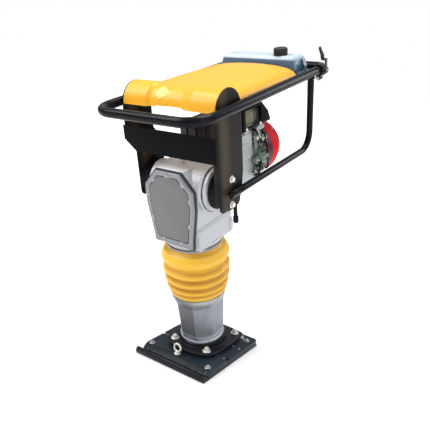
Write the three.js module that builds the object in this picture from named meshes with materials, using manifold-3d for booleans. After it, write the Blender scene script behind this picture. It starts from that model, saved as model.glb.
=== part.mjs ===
// Jumping jack rammer: an upright, petrol-driven soil rammer.
// Units are millimetres and +Z is up. The origin is the middle of the shoe's flat sole.
// +X is the machine's left, -Y is the front (crankcase cover side), +Y is where the operator stands.
// The foot stands flat, and the leg and everything above it lean forward by LEAN.

import * as THREE from 'three';
import { mergeVertices } from 'three/addons/utils/BufferGeometryUtils.js';
import Module from 'manifold-3d';

const wasm = await Module();
wasm.setup();

// ---------------------------------------------------------------- driving dimensions

const LEAN = THREE.MathUtils.degToRad(12);
const LEG_FOOT_Y = 32;            // where the leg axis meets the ground plane
const GAP = 0.3;                  // clearance between touching parts
const ROUND = 24;                 // facets round the leg and what is coaxial with it

const SHOE = { width: 288, length: 330, soleThick: 10, coreTop: 28, coreFront: -123, corner: 6 };
const ON_SHOE = SHOE.coreTop + GAP;
const FLANGE = { halfWidth: 100, front: -92, back: 150, top: 42, boltX: 70, boltFront: -50, boltBack: 125 };
const SHOE_BOLT = { x: 122, front: -112, back: 126 };

const LEG = { bottom: 72, ringR: 76, faceBottom: 98, faceTop: 236, headR: 93, headTop: 262 };
const LEG_TUBE = { seatR: 88, r: 66, top: 375, bore: 56 };
const PISTON = { r: 54, bottom: 176, top: 200, rodR: 13 };
const GUIDE = { bore: 67, outer: 76, bottom: 322, neckR: 88, neckBottom: 438, flangeR: 95 };
const BELLOWS = { bottom: 257, top: 446, wall: 4 };

const CASE = { front: -88, back: 75, bottom: 466, top: 716, skirtBack: 88 };
const COVER = { front: -100, rim: -103 };
const CRANK = { z: 575, throw: 30, pinR: 9, gearFront: 22, gearBack: 40, journalR: 14.6 };
const GEAR = { module: 3.2, teeth: 40, pinionTeeth: 10 };
const PINION_Z = CRANK.z + (GEAR.module * (GEAR.teeth + GEAR.pinionTeeth)) / 2;
const ROCK = { y: -18, z: 651 };  // axis that the handle frame rocks about
const BOSS = { left: 127, leftR: 66, right: 98, rightR: 62, grow: 4 };
const MOUNT_R = 59;

const BRACKET = { outer: 174.5, joggled: 139, thick: 5, noseY: -13, noseZ: 895, noseR: 60, bottom: 600 };
const BRACKET_FRONT = { left: -80, right: -77 };
const CROSS_PLATE = { front: -82.5, back: -77.3, top: 830, bottom: 753 };
const LOOP = { halfWidth: 190, tube: 15, frontY: -178, backY: 568, frontZ: 896.5, backZ: 911 };
const LOOP_BEND = { front: 66, back: 40 };
const GUARD = { x: 189, tube: 11, y: 453, z: 652, end: -38, bend: 60 };
const HOOD = { halfWidth: 172.5, wall: 4, crown: 948, edge: 912, back: 385, waistR: 50 };
const TANK = { halfWidth: 150, front: 350, back: 504, bottom: 899.3, top: 965, neckTop: 968 };
const CAP = { x: 78, y: 446, r: 24, height: 22, ribs: 20 };
const ENGINE = { front: 150, back: 300, z: 655, shroudBack: 352, recoilBack: 426 };
const THROTTLE = { y: 515, hubX: 210.6, bladeX: 198, reach: 79 };

// ---------------------------------------------------------------- geometry helpers

/** Merges vertices, drops empty triangles and turns the faces outward. */
function closed(geometry) {
  const bare = geometry.index ? geometry.toNonIndexed() : geometry.clone();
  for (const name of Object.keys(bare.attributes)) {
    if (name !== 'position') bare.deleteAttribute(name);
  }
  const merged = mergeVertices(bare, 1e-3);
  const at = merged.attributes.position;
  const [a, b, c] = [new THREE.Vector3(), new THREE.Vector3(), new THREE.Vector3()];
  const kept = [];
  let volume = 0;
  for (let i = 0; i < merged.index.count; i += 3) {
    const corner = [0, 1, 2].map((k) => merged.index.getX(i + k));
    if (new Set(corner).size < 3) continue;
    kept.push(...corner);
    a.fromBufferAttribute(at, corner[0]);
    b.fromBufferAttribute(at, corner[1]);
    c.fromBufferAttribute(at, corner[2]);
    volume += a.dot(b.cross(c));
  }
  if (volume < 0) kept.reverse();
  merged.setIndex(kept);
  return merged;
}

function solid(geometry) {
  const shape = closed(geometry);
  const mesh = new wasm.Mesh({
    numProp: 3,
    vertProperties: new Float32Array(shape.attributes.position.array),
    triVerts: new Uint32Array(shape.index.array),
  });
  return new wasm.Manifold(mesh);
}

function toGeometry(body) {
  const mesh = body.getMesh();
  const geometry = new THREE.BufferGeometry();
  geometry.setAttribute('position', new THREE.BufferAttribute(new Float32Array(mesh.vertProperties), 3));
  geometry.setIndex(new THREE.BufferAttribute(new Uint32Array(mesh.triVerts), 1));
  return geometry;
}

function join(...bodies) {
  return bodies.reduce((all, next) => all.add(next));
}

function cut(body, ...tools) {
  return tools.reduce((left, tool) => left.subtract(tool), body);
}

function box(x0, x1, y0, y1, z0, z1) {
  const geometry = new THREE.BoxGeometry(x1 - x0, y1 - y0, z1 - z0);
  return solid(geometry.translate((x0 + x1) / 2, (y0 + y1) / 2, (z0 + z1) / 2));
}

/** Extrudes an [x, y] outline from z0 to z1. */
function prismZ(outline, z0, z1) {
  const shape = new THREE.Shape(outline.map(([x, y]) => new THREE.Vector2(x, y)));
  const geometry = new THREE.ExtrudeGeometry(shape, { depth: z1 - z0, bevelEnabled: false });
  return solid(geometry.translate(0, 0, z0));
}

/** Extrudes an [x, z] outline from y0 to y1. */
function prismY(outline, y0, y1) {
  const shape = new THREE.Shape(outline.map(([x, z]) => new THREE.Vector2(x, z)));
  const geometry = new THREE.ExtrudeGeometry(shape, { depth: y1 - y0, bevelEnabled: false });
  return solid(geometry.rotateX(Math.PI / 2).translate(0, y1, 0));
}

/** Extrudes a [y, z] outline from x0 to x1. */
function prismX(outline, x0, x1) {
  const shape = new THREE.Shape(outline.map(([y, z]) => new THREE.Vector2(y, z)));
  const geometry = new THREE.ExtrudeGeometry(shape, { depth: x1 - x0, bevelEnabled: false });
  const turn = new THREE.Matrix4().makeBasis(
    new THREE.Vector3(0, 1, 0), new THREE.Vector3(0, 0, 1), new THREE.Vector3(1, 0, 0));
  return solid(geometry.applyMatrix4(turn).translate(x0, 0, 0));
}

function rodX(r, x0, x1, y, z, sides = 20, r1 = r) {
  const geometry = new THREE.CylinderGeometry(r, r1, x1 - x0, sides);
  return solid(geometry.rotateZ(Math.PI / 2).translate((x0 + x1) / 2, y, z));
}

function rodY(r, y0, y1, x, z, sides = 20, r1 = r) {
  const geometry = new THREE.CylinderGeometry(r1, r, y1 - y0, sides);
  return solid(geometry.translate(x, (y0 + y1) / 2, z));
}

function rodZ(r, z0, z1, x = 0, y = 0, sides = 20, r1 = r) {
  const geometry = new THREE.CylinderGeometry(r1, r, z1 - z0, sides);
  return solid(geometry.rotateX(Math.PI / 2).translate(x, y, (z0 + z1) / 2));
}

/** Turns a profile of [radius, height] points about Z. */
function lathe(profile, sides = ROUND) {
  const points = profile.map(([r, z]) => new THREE.Vector2(r, z));
  points.push(points[0].clone());
  return solid(new THREE.LatheGeometry(points, sides).rotateX(Math.PI / 2));
}

/** Mirrors a half outline whose points run from the top down on the +X side. */
function mirrored(half) {
  return [...half, ...half.map(([x, y]) => [-x, y]).reverse()];
}

function arc(cx, cy, r, from, to, steps) {
  return Array.from({ length: steps + 1 }, (_, i) => {
    const angle = THREE.MathUtils.degToRad(from + ((to - from) * i) / steps);
    return [cx + r * Math.cos(angle), cy + r * Math.sin(angle)];
  });
}

/** A curve that an extrusion follows station by station. */
class Route extends THREE.Curve {
  constructor(stations) {
    super();
    this.stations = stations;
  }

  index(t) {
    return Math.round(t * (this.stations.length - 1));
  }

  getPoint(t) {
    return this.stations[this.index(t)].clone();
  }

  getPointAt(t) {
    return this.getPoint(t);
  }

  getSpacedPoints() {
    return this.stations.map((p) => p.clone());
  }

  getTangentAt(t) {
    const i = this.index(t);
    const last = this.stations.length - 1;
    const before = this.stations[Math.max(i - 1, 0)];
    const here = this.stations[i];
    const after = this.stations[Math.min(i + 1, last)];
    const tangent = new THREE.Vector3();
    if (i > 0) tangent.add(here.clone().sub(before).normalize());
    if (i < last) tangent.add(after.clone().sub(here).normalize());
    return tangent.normalize();
  }
}

/** Stations along straight runs joined by arcs; corners = [[x, y, z, bend radius], ...]. */
function bentRoute(corners, stepsPerBend = 6) {
  const at = corners.map(([x, y, z]) => new THREE.Vector3(x, y, z));
  const stations = [at[0]];
  for (let i = 1; i < at.length - 1; i += 1) {
    const into = at[i].clone().sub(at[i - 1]).normalize();
    const out = at[i + 1].clone().sub(at[i]).normalize();
    const turn = into.angleTo(out);
    const radius = corners[i][3];
    const reach = radius * Math.tan(turn / 2);
    const centre = out.clone().sub(into).normalize().multiplyScalar(radius / Math.cos(turn / 2)).add(at[i]);
    const start = at[i].clone().addScaledVector(into, -reach).sub(centre);
    const end = at[i].clone().addScaledVector(out, reach).sub(centre);
    for (let k = 0; k <= stepsPerBend; k += 1) {
      const s = k / stepsPerBend;
      const a = Math.sin((1 - s) * turn) / Math.sin(turn);
      const b = Math.sin(s * turn) / Math.sin(turn);
      stations.push(start.clone().multiplyScalar(a).addScaledVector(end, b).add(centre));
    }
  }
  stations.push(at[at.length - 1]);
  return new Route(stations);
}

function coilRoute(radius, z0, z1, turns, stepsPerTurn = 10) {
  const count = turns * stepsPerTurn;
  return new Route(Array.from({ length: count + 1 }, (_, i) => {
    const angle = (2 * Math.PI * i) / stepsPerTurn;
    const z = z0 + ((z1 - z0) * i) / count;
    return new THREE.Vector3(radius * Math.cos(angle), radius * Math.sin(angle), z);
  }));
}

function tube(route, r, sides = 12) {
  const ring = arc(0, 0, r, 0, 360 - 360 / sides, sides - 1);
  const section = new THREE.Shape(ring.map(([x, y]) => new THREE.Vector2(x, y)));
  const steps = route.stations.length - 1;
  return solid(new THREE.ExtrudeGeometry(section, { steps, extrudePath: route }));
}

/** Mirrors a body modelled on the +X side to the given side. */
function onSide(side, body) {
  return side > 0 ? body : body.mirror([1, 0, 0]);
}

function hexagon(r, cx = 0, cy = 0) {
  return arc(cx, cy, r, 0, 300, 5);
}

// ---------------------------------------------------------------- scene graph

const LOOKS = {
  blackSteel: { color: 0x17181c, roughness: 0.35, metalness: 0.5 },
  darkSteel: { color: 0x2a2927, roughness: 0.45, metalness: 0.5 },
  castAluminium: { color: 0xb4b6ba, roughness: 0.45, metalness: 0.8 },
  coverGrey: { color: 0x9a9c9e, roughness: 0.5, metalness: 0.3 },
  steel: { color: 0xa5a7ab, roughness: 0.3, metalness: 1.0 },
  zinc: { color: 0xd2cfba, roughness: 0.3, metalness: 0.9 },
  yellowRubber: { color: 0xe9a91c, roughness: 0.5, metalness: 0.0 },
  yellowPlastic: { color: 0xf6ab1e, roughness: 0.35, metalness: 0.0 },
  tankPlastic: { color: 0xb9cbdc, roughness: 0.4, metalness: 0.0 },
  blackRubber: { color: 0x141417, roughness: 0.75, metalness: 0.0 },
  blackPlastic: { color: 0x1b1c1d, roughness: 0.5, metalness: 0.0 },
  redPlastic: { color: 0xc01522, roughness: 0.35, metalness: 0.0 },
  heatedSteel: { color: 0x6b5a45, roughness: 0.55, metalness: 0.7 },
  laminate: { color: 0x1d1e21, roughness: 0.6, metalness: 0.0 },
};

const rammer = new THREE.Group();
const machine = new THREE.Group();
machine.position.y = LEG_FOOT_Y;
machine.rotation.x = LEAN;
rammer.add(machine);
machine.updateMatrix();

function part(name, body, look, parent = machine) {
  const mesh = new THREE.Mesh(toGeometry(body), new THREE.MeshStandardMaterial(LOOKS[look]));
  mesh.name = name;
  parent.add(mesh);
}

/** Turns a body modelled in the leaning machine's frame into the upright foot's frame. */
function leaned(body) {
  return body.transform(machine.matrix.elements);
}

// ---------------------------------------------------------------- foot

function shoeSole() {
  const half = SHOE.length / 2;
  const thick = SHOE.soleThick;
  const lip = [[-132, thick], [-141, 11.5], [-147, 15], [-151, 21], [-156, 24.5], [-161, 23], [-165, 17]];
  const side = [[half, 0], [half, thick], ...lip, [-half, 5], [5 - half, 0]];
  return prismX(side, -SHOE.width / 2, SHOE.width / 2);
}

function shoeCore() {
  const half = SHOE.width / 2;
  const back = SHOE.length / 2;
  const front = -140.5;
  const c = SHOE.corner;
  const plan = [
    [half, front], [half, back - c], [half - c, back], [c - half, back], [-half, back - c], [-half, front],
  ];
  const above = SHOE.soleThick + GAP;
  const { coreTop, coreFront } = SHOE;
  const side = [
    [back, above], [back, coreTop], [coreFront, coreTop], [coreFront - 4, coreTop - 1],
    [front, 17], [front, 12.2], [-131.8, above + 0.2],
  ];
  return prismZ(plan, 0, 60).intersect(prismX(side, -half, half));
}

function footFlange() {
  const { halfWidth, front, back, top } = FLANGE;
  const plate = prismZ([
    [-halfWidth, -42], [-60, -84], [0, front], [60, -84], [halfWidth, -42],
    [halfWidth, 112], [74, back], [-74, back], [-halfWidth, 112],
  ], ON_SHOE, top);
  const collar = leaned(rodZ(84, 12, LEG.bottom - GAP, 0, 0, ROUND, 80));
  const below = box(-200, 200, -200, 250, -50, ON_SHOE);
  return cut(join(plate, collar), below);
}

function stud(x, y, base, headR, headHeight, tipHeight) {
  const washer = rodZ(headR + 4, base, base + 2.5, x, y, 12);
  const head = prismZ(hexagon(headR, x, y), base + 2, base + 2.5 + headHeight);
  const tip = rodZ(headR * 0.55, base + 2, base + 2.5 + headHeight + tipHeight, x, y, 8);
  return join(washer, head, tip);
}

function eyeBolt() {
  const [x, y, base] = [-8, -112, ON_SHOE];
  const ring = solid(new THREE.TorusGeometry(14, 4.2, 6, 16).rotateX(Math.PI / 2).translate(x, y, base + 24));
  return join(rodZ(11, base, base + 5, x, y, 20), rodZ(6, base + 4, base + 11.5, x, y, 12), ring);
}

part('shoe_sole', shoeSole(), 'blackSteel', rammer);
part('shoe_core', shoeCore(), 'laminate', rammer);
part('foot_flange', footFlange(), 'blackSteel', rammer);
part('eye_bolt', eyeBolt(), 'zinc', rammer);
for (const [side, sign] of [['left', 1], ['right', -1]]) {
  const nutX = sign * FLANGE.boltX;
  const boltX = sign * SHOE_BOLT.x;
  const onFlange = FLANGE.top + GAP;
  part(`flange_nut_front_${side}`, stud(nutX, FLANGE.boltFront, onFlange, 10, 9, 5), 'steel', rammer);
  part(`flange_nut_back_${side}`, stud(nutX, FLANGE.boltBack, onFlange, 10, 9, 5), 'steel', rammer);
  part(`shoe_bolt_front_${side}`, stud(boltX, SHOE_BOLT.front, ON_SHOE, 7, 5, 2), 'steel', rammer);
  part(`shoe_bolt_back_${side}`, stud(boltX, SHOE_BOLT.back, ON_SHOE, 7, 5, 2), 'steel', rammer);
}

// ---------------------------------------------------------------- leg and spring cylinder

function legCylinder() {
  const { bottom, ringR, faceBottom, faceTop, headR, headTop } = LEG;
  const { seatR, r, top, bore } = LEG_TUBE;
  const ring = lathe([
    [0, bottom], [ringR - 4, bottom], [ringR, bottom + 4], [ringR, faceBottom - 4],
    [ringR - 6, faceBottom + 4], [0, faceBottom + 4],
  ]);
  const faces = solid(new THREE.CylinderGeometry(86, 78, faceTop - faceBottom, 8, 1, false, Math.PI / 8)
    .rotateX(Math.PI / 2).translate(0, 0, (faceTop + faceBottom) / 2));
  const head = lathe([
    [0, faceTop - 20], [77, faceTop - 20], [86, faceTop - 6], [headR, faceTop + 8], [headR, headTop - 8],
    [seatR, headTop - 7], [seatR, headTop + 6], [r, headTop + 6], [r, top], [0, top],
  ]);
  return cut(join(ring, faces, head), rodZ(bore, 92, top + 1, 0, 0, ROUND));
}

part('leg_cylinder', legCylinder(), 'castAluminium');
part('leg_top_retainer', lathe([[30, 362], [55.6, 362], [55.6, 374], [30, 374]]), 'steel');
part('spring_lower', tube(coilRoute(42, 99, 169, 4), 5.5, 6), 'steel');
part('spring_upper', tube(coilRoute(42, 207, 355, 6), 5.5, 6), 'steel');
part('spring_piston', lathe([
  [PISTON.rodR + GAP, PISTON.bottom], [PISTON.r, PISTON.bottom],
  [PISTON.r, PISTON.top], [PISTON.rodR + GAP, PISTON.top],
]), 'steel');

function pistonRod() {
  const nut = prismZ(hexagon(24), PISTON.bottom - 20, PISTON.bottom - GAP);
  const rod = rodZ(PISTON.rodR, PISTON.bottom - 20, 424, 0, 0, 16);
  const collar = rodZ(24, PISTON.top + GAP, PISTON.top + 6, 0, 0, 16);
  const fork = box(-15, 15, -17, 17, 420, 456);
  const wristPin = rodY(7, -17, 17, 0, 440, 16);
  return join(cut(join(nut, rod, collar, fork), box(-16, 16, -9, 9, 426, 460)), wristPin);
}

part('piston_rod', pistonRod(), 'steel');

function connectingRod() {
  const bigEnd = CRANK.z - CRANK.throw;
  const eyes = join(rodY(11.5, -8, 8, 0, 440, 20), rodY(17, -8, 8, 0, bigEnd, 24));
  const shank = box(-8, 8, -5, 5, 448, bigEnd - 10);
  const smallBore = rodY(7.3, -10, 10, 0, 440, 16);
  const bigBore = rodY(CRANK.pinR + 0.5, -10, 10, 0, bigEnd, 20);
  return cut(join(eyes, shank), smallBore, bigBore);
}

part('connecting_rod', connectingRod(), 'steel');

// ---------------------------------------------------------------- bellows and guide

function bellows() {
  const crests = [[405, 114], [359, 113], [326, 110], [289, 104]];
  const valleys = [[379, 102], [342, 101], [311, 97]];
  const outer = [[90, BELLOWS.top], [90, BELLOWS.top - 10], [103, BELLOWS.top - 20]];
  crests.forEach(([z, r], i) => {
    outer.push([r, z + 6], [r, z - 6]);
    if (valleys[i]) outer.push([valleys[i][1], valleys[i][0]]);
  });
  outer.push([95, 273], [92.4, 268], [92.4, BELLOWS.bottom]);
  const inner = outer.map(([r, z]) => [r - BELLOWS.wall, z]).reverse();
  return lathe([...outer, ...inner]);
}

function guideCylinder() {
  const { bore, outer, bottom, neckR, neckBottom, flangeR } = GUIDE;
  return lathe([
    [bore, bottom], [outer, bottom], [outer, neckBottom - 6], [neckR - 3, neckBottom - 6],
    [neckR - 3, neckBottom + 14], [flangeR, neckBottom + 16], [flangeR, CASE.bottom - GAP],
    [bore, CASE.bottom - GAP],
  ]);
}

function clampBand(r, z0, z1) {
  return lathe([[r, z0], [r + 2.2, z0], [r + 2.2, z1], [r, z1]]);
}

part('bellows', bellows(), 'yellowRubber');
part('guide_cylinder', guideCylinder(), 'castAluminium');
part('bellows_clamp_upper', clampBand(90.4, 438, 445), 'steel');
part('bellows_clamp_lower', clampBand(92.8, 259, 266), 'steel');

// ---------------------------------------------------------------- crankcase and drive

const CASE_HALF = [[50, CASE.top], [97, 662], [98, 600], [80, 500], [78, CASE.bottom]];
const CAVITY_HALF = [[45, 706], [87, 657], [88, 601], [70, 503], [68, 478]];

function crankcase() {
  const shell = prismY(mirrored(CASE_HALF), CASE.front, CASE.back);
  const skirt = prismY(mirrored([[80, 540], [93, 526], [93, CASE.bottom]]), CASE.front + 2, CASE.skirtBack);
  const { left, leftR, right, rightR, grow } = BOSS;
  const bossRoom = box(-150, 150, CASE.front + 2, 70, 500, 760);
  const bosses = [
    rodX(leftR, 50, left, ROCK.y, ROCK.z, 32, leftR + grow).intersect(bossRoom),
    rodX(rightR, 50, right, ROCK.y, ROCK.z, 32).mirror([1, 0, 0]),
  ];
  const cavity = prismY(mirrored(CAVITY_HALF), CASE.front - 1, 60);
  const rodHole = rodZ(40, CASE.bottom - 1, 482, 0, 0, 24);
  const bearingSeat = rodY(26.3, 59, CASE.back + 1, 0, CRANK.z, 24);
  const pinionHole = rodY(13, 59, CASE.back + 1, 0, PINION_Z, 20);
  return cut(join(shell, skirt, ...bosses), cavity, rodHole, bearingSeat, pinionHole);
}

function crankcaseCover() {
  const edge = mirrored([[47, 712], [93, 660], [94, 600], [77, 500], [75, 470]]);
  const rimEdge = mirrored([[46, 710], [92, 659], [93, 600], [76, 500], [74, 472]]);
  const recessEdge = mirrored([[38, 692], [76, 650], [77, 600], [62, 505], [60, 486]]);
  const plate = prismY(edge, COVER.front, CASE.front - GAP);
  const rim = prismY(rimEdge, COVER.rim, COVER.front + 1);
  return join(plate, cut(rim, prismY(recessEdge, COVER.rim - 1, COVER.front)));
}

function gearOutline(teeth, module, cz, phase) {
  const pitch = (module * teeth) / 2;
  const step = 360 / teeth;
  const profile = [[-0.24, -1.15], [-0.14, 0.75], [0.14, 0.75], [0.24, -1.15]];
  const outline = [];
  for (let i = 0; i < teeth; i += 1) {
    for (const [turn, height] of profile) {
      const angle = THREE.MathUtils.degToRad(phase + (i + turn) * step);
      const r = pitch + height * module;
      outline.push([r * Math.cos(angle), cz + r * Math.sin(angle)]);
    }
  }
  return outline;
}

function crankGear() {
  const wheel = prismY(gearOutline(GEAR.teeth, GEAR.module, CRANK.z, 90), CRANK.gearFront, CRANK.gearBack);
  const pin = rodY(CRANK.pinR, 9, CRANK.gearFront + 1, 0, CRANK.z - CRANK.throw, 16);
  const journal = rodY(CRANK.journalR, CRANK.gearBack - 1, CASE.back - 2, 0, CRANK.z, 20);
  return join(wheel, pin, journal);
}

function pinionShaft() {
  const halfTooth = 180 / GEAR.pinionTeeth;
  const outline = gearOutline(GEAR.pinionTeeth, GEAR.module, PINION_Z, 270 + halfTooth);
  const pinion = prismY(outline, CRANK.gearFront, CRANK.gearBack);
  return join(pinion, rodY(10, CRANK.gearBack - 1, 93, 0, PINION_Z, 16));
}

function clutchDrum() {
  const web = rodY(56, 93.3, 98, 0, PINION_Z, 32);
  const rim = cut(rodY(60, 93.3, 124, 0, PINION_Z, 32), rodY(55, 98, 125, 0, PINION_Z, 32));
  return join(web, rim);
}

function clutchHousing() {
  const flange = rodY(74, CASE.back + GAP, 83, 0, ENGINE.z, 32);
  const bell = rodY(70, 80, ENGINE.front - GAP, 0, ENGINE.z, 32);
  const room = rodY(64, 84, ENGINE.front, 0, ENGINE.z, 32);
  return cut(join(flange, bell), room, rodY(14, 70, 90, 0, ENGINE.z, 20));
}

function oilFillerPlug() {
  const [x, y] = [-4, -24];
  const washer = rodZ(11, CASE.top + GAP, CASE.top + 3, x, y);
  return join(washer, prismZ(hexagon(8, x, y), CASE.top + 2, CASE.top + 9));
}

part('crankcase', crankcase(), 'castAluminium');
part('crankcase_cover', crankcaseCover(), 'coverGrey');
part('oil_filler_plug', oilFillerPlug(), 'steel');
part('crank_gear', crankGear(), 'steel');
part('crank_bearing', cut(rodY(26, 61, 73, 0, CRANK.z, 24), rodY(15, 60, 74, 0, CRANK.z, 24)), 'steel');
part('pinion_shaft', pinionShaft(), 'steel');
part('clutch_drum', clutchDrum(), 'darkSteel');
part('clutch_housing', clutchHousing(), 'castAluminium');

// ---------------------------------------------------------------- engine

function engineBlock() {
  const low = ENGINE.z - 80;
  const body = prismY(mirrored([[60, 735], [82, 712], [82, low + 22], [60, low]]), ENGINE.front, ENGINE.back);
  const core = box(-46, 46, 172, 282, 730, 772);
  const fins = [738, 747, 756, 765].map((z) => box(-62, 62, 162, 290, z, z + 3.5));
  return join(body, core, ...fins);
}

/** An end view, as an [x, z] octagon with small lower and large upper chamfers. */
function guardEnd(x0, x1, z0, z1, foot) {
  const shoulder = 12;
  return [
    [x0, z0 + 6], [x0 + foot, z0], [x1 - foot, z0], [x1, z0 + 6],
    [x1, z1 - shoulder], [x1 - shoulder, z1], [x0 + shoulder, z1], [x0, z1 - shoulder],
  ];
}

function muffler() {
  const can = rodY(32, 146, 230, 80, 822, 20);
  const port = box(58, 80, 185, 215, 776, 800);
  return cut(join(can, port), rodY(28, 220, 231, 80, 822, 20));
}

/** A box-shaped guard whose rear slants forward towards its top. */
function mufflerGuard() {
  const outerEnd = guardEnd(40, 124, 782, 864, 4);
  const innerEnd = guardEnd(43, 121, 785, 861, 3);
  const outerSide = [[132, 782], [296, 782], [279, 820], [249, 848], [236, 864], [132, 864]];
  const innerSide = [[135, 785], [291, 785], [276, 818], [246, 846], [234, 861], [135, 861]];
  const outer = prismY(outerEnd, 132, 300).intersect(prismX(outerSide, 30, 130));
  const inner = prismY(innerEnd, 132, 300).intersect(prismX(innerSide, 30, 130));
  const window = box(119, 126, 146, 236, 794, 846);
  const underside = box(48, 116, 150, 280, 780, 788);
  return cut(outer, inner, window, underside);
}

function airCleaner() {
  const outline = [
    [-64.5, 746], [-84.5, 746], [-84.5, 702], [-120, 702], [-128, 710], [-128, 786],
    [-118, 796], [-76, 796], [-64.5, 786],
  ];
  return cut(prismY(outline, 140, 284), rodY(16, 139, 150, -96, 766, 16));
}

function carburettor() {
  const throat = rodX(18, 82.3, 112, 274, 676);
  const bowl = rodZ(18, 640, 672, 104, 274);
  const flange = box(82.3, 90, 250, 298, 654, 698);
  return join(throat, bowl, flange);
}

function fanShroud() {
  const { back, z, shroudBack } = ENGINE;
  const drum = rodY(98, back + GAP, shroudBack, 0, z, 40);
  return cut(drum, rodY(92, back + 6, shroudBack + 1, 0, z, 40), rodY(20, back, back + 20, 0, z, 20));
}

function recoilCover() {
  const { z, shroudBack, recoilBack } = ENGINE;
  const front = shroudBack + GAP;
  const shoulder = recoilBack - 34;
  const dome = (r, from, to, sides) => join(
    rodY(r, from, shoulder, 0, z, sides),
    rodY(r, shoulder - 1, to, 0, z, sides, r - 16));
  const ropeHole = rodY(6, recoilBack - 12, recoilBack + 1, -34, 700, 12);
  return cut(dome(98, front, recoilBack, 40), dome(92, front - 1, recoilBack - 5, 32), ropeHole);
}

/** A small lever that turns about X on its pivot, with a flat arm. */
function pivotLever(x0, x1, pivotY, pivotZ, arm) {
  return join(rodX(6, x0, x1, pivotY, pivotZ, 12), box(x0, x1, ...arm));
}

function starterGrip() {
  const front = ENGINE.recoilBack + GAP;
  return join(rodY(5, front, front + 12, -34, 700, 12), box(-62, -6, front + 11, front + 25, 692, 708));
}

part('engine_block', engineBlock(), 'castAluminium');
part('muffler', muffler(), 'heatedSteel');
part('muffler_guard', mufflerGuard(), 'blackSteel');
part('air_cleaner', airCleaner(), 'blackPlastic');
part('carburettor', carburettor(), 'castAluminium');
part('fan_shroud', fanShroud(), 'blackSteel');
part('recoil_cover', recoilCover(), 'redPlastic');
part('starter_grip', starterGrip(), 'blackPlastic');
part('choke_lever', pivotLever(112.5, 116, 270, 684, [248, 270, 681, 687]), 'blackPlastic');
part('fuel_tap_lever', pivotLever(122.6, 126, 274, 654, [271, 277, 632, 654]), 'blackPlastic');
part('stop_switch', box(-90, -83.8, 190, 212, 650, 664), 'redPlastic');

// ---------------------------------------------------------------- handle frame

function bracketOutline(front) {
  const { noseY, noseZ, noseR, bottom } = BRACKET;
  return [
    ...arc(noseY, noseZ, noseR, 0, 180, 14),
    [front, noseZ - 27],
    ...arc(front + 20, bottom + 20, 20, 180, 270, 4),
    ...arc(5, bottom + 18, 18, 270, 340, 3),
    [36, 651], [45, 700],
  ];
}

function leftBracket() {
  const { outer, thick } = BRACKET;
  return prismX(bracketOutline(BRACKET_FRONT.left), outer - thick, outer);
}

/** The right bracket is joggled inward under the cross plate, to reach its shorter rubber mount. */
function rightBracket() {
  const { outer, joggled, thick, bottom } = BRACKET;
  const top = 960;
  const section = [
    [-outer, top], [-outer, 790], [-joggled, 754], [-joggled, bottom - 1],
    [thick - joggled, bottom - 1], [thick - joggled, 756], [thick - outer, 792], [thick - outer, top],
  ];
  return prismX(bracketOutline(BRACKET_FRONT.right), -outer - 1, thick - joggled + 1)
    .intersect(prismY(section, -100, 100));
}

/** The cross plate butts the left bracket and passes in front of the right one, chamfered to its joggle. */
function crossPlate() {
  const { front, back, top, bottom } = CROSS_PLATE;
  const leftEnd = BRACKET.outer - BRACKET.thick - GAP;
  const outline = [[leftEnd, top], [leftEnd, bottom], [-133, bottom], [-176, 787], [-176, top]];
  return prismY(outline, front, back);
}

function loopZ(y) {
  return LOOP.frontZ + ((LOOP.backZ - LOOP.frontZ) * (y - LOOP.frontY)) / (LOOP.backY - LOOP.frontY);
}

function handleLoop() {
  const { halfWidth, tube: r, frontY, backY } = LOOP;
  const seam = GAP / 2;
  return tube(bentRoute([
    [seam, frontY, loopZ(frontY)],
    [halfWidth, frontY, loopZ(frontY), LOOP_BEND.front],
    [halfWidth, backY, loopZ(backY), LOOP_BEND.back],
    [-halfWidth, backY, loopZ(backY), LOOP_BEND.back],
    [-halfWidth, frontY, loopZ(frontY), LOOP_BEND.front],
    [-seam, frontY, loopZ(frontY)],
  ]), r);
}

/** Hangs from the loop and runs forward to end beside its bracket. */
function guardTube(side) {
  const { x, tube: r, y, z, end, bend } = GUARD;
  const beside = (side > 0 ? BRACKET.outer : BRACKET.joggled) + r + GAP;
  return tube(bentRoute([
    [side * x, y, loopZ(y) - LOOP.tube - GAP],
    [side * beside, y, z, bend],
    [side * beside, end, z],
  ]), r);
}

function hood() {
  const { halfWidth, wall, crown, edge, back, waistR } = HOOD;
  const noseEnd = BRACKET.outer - BRACKET.thick - GAP;
  const { noseY, noseZ, noseR } = BRACKET;
  const barrel = [[noseEnd, noseR], [82, noseR], [44, waistR + 2], [0, waistR]];
  const outer = [...barrel, ...barrel.slice(0, -1).map(([x, r]) => [-x, r]).reverse()];
  const inner = outer.map(([x, r]) => [x, r - wall]).reverse();
  const nose = lathe([...outer, ...inner].map(([x, r]) => [r, x]), 40)
    .rotate([0, 90, 0]).translate([0, noseY, noseZ]);
  const half = [[0, crown], [80, crown - 3], [130, crown - 9], [158, crown - 18], [halfWidth, edge]];
  const skin = [...half.map(([x, z]) => [-x, z]).reverse(), ...half.slice(1)];
  const under = skin.map(([x, z]) => [
    x * (1 - wall / halfWidth), Math.abs(x) < halfWidth ? z - wall : z,
  ]).reverse();
  const sheet = prismY([...skin, ...under], 14, back);
  const noseTop = cut(nose, box(-200, 200, -200, 200, 700, noseZ + 1));
  return join(noseTop, cut(sheet, box(-200, 200, 0, 48, 880, 925)));
}

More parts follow.
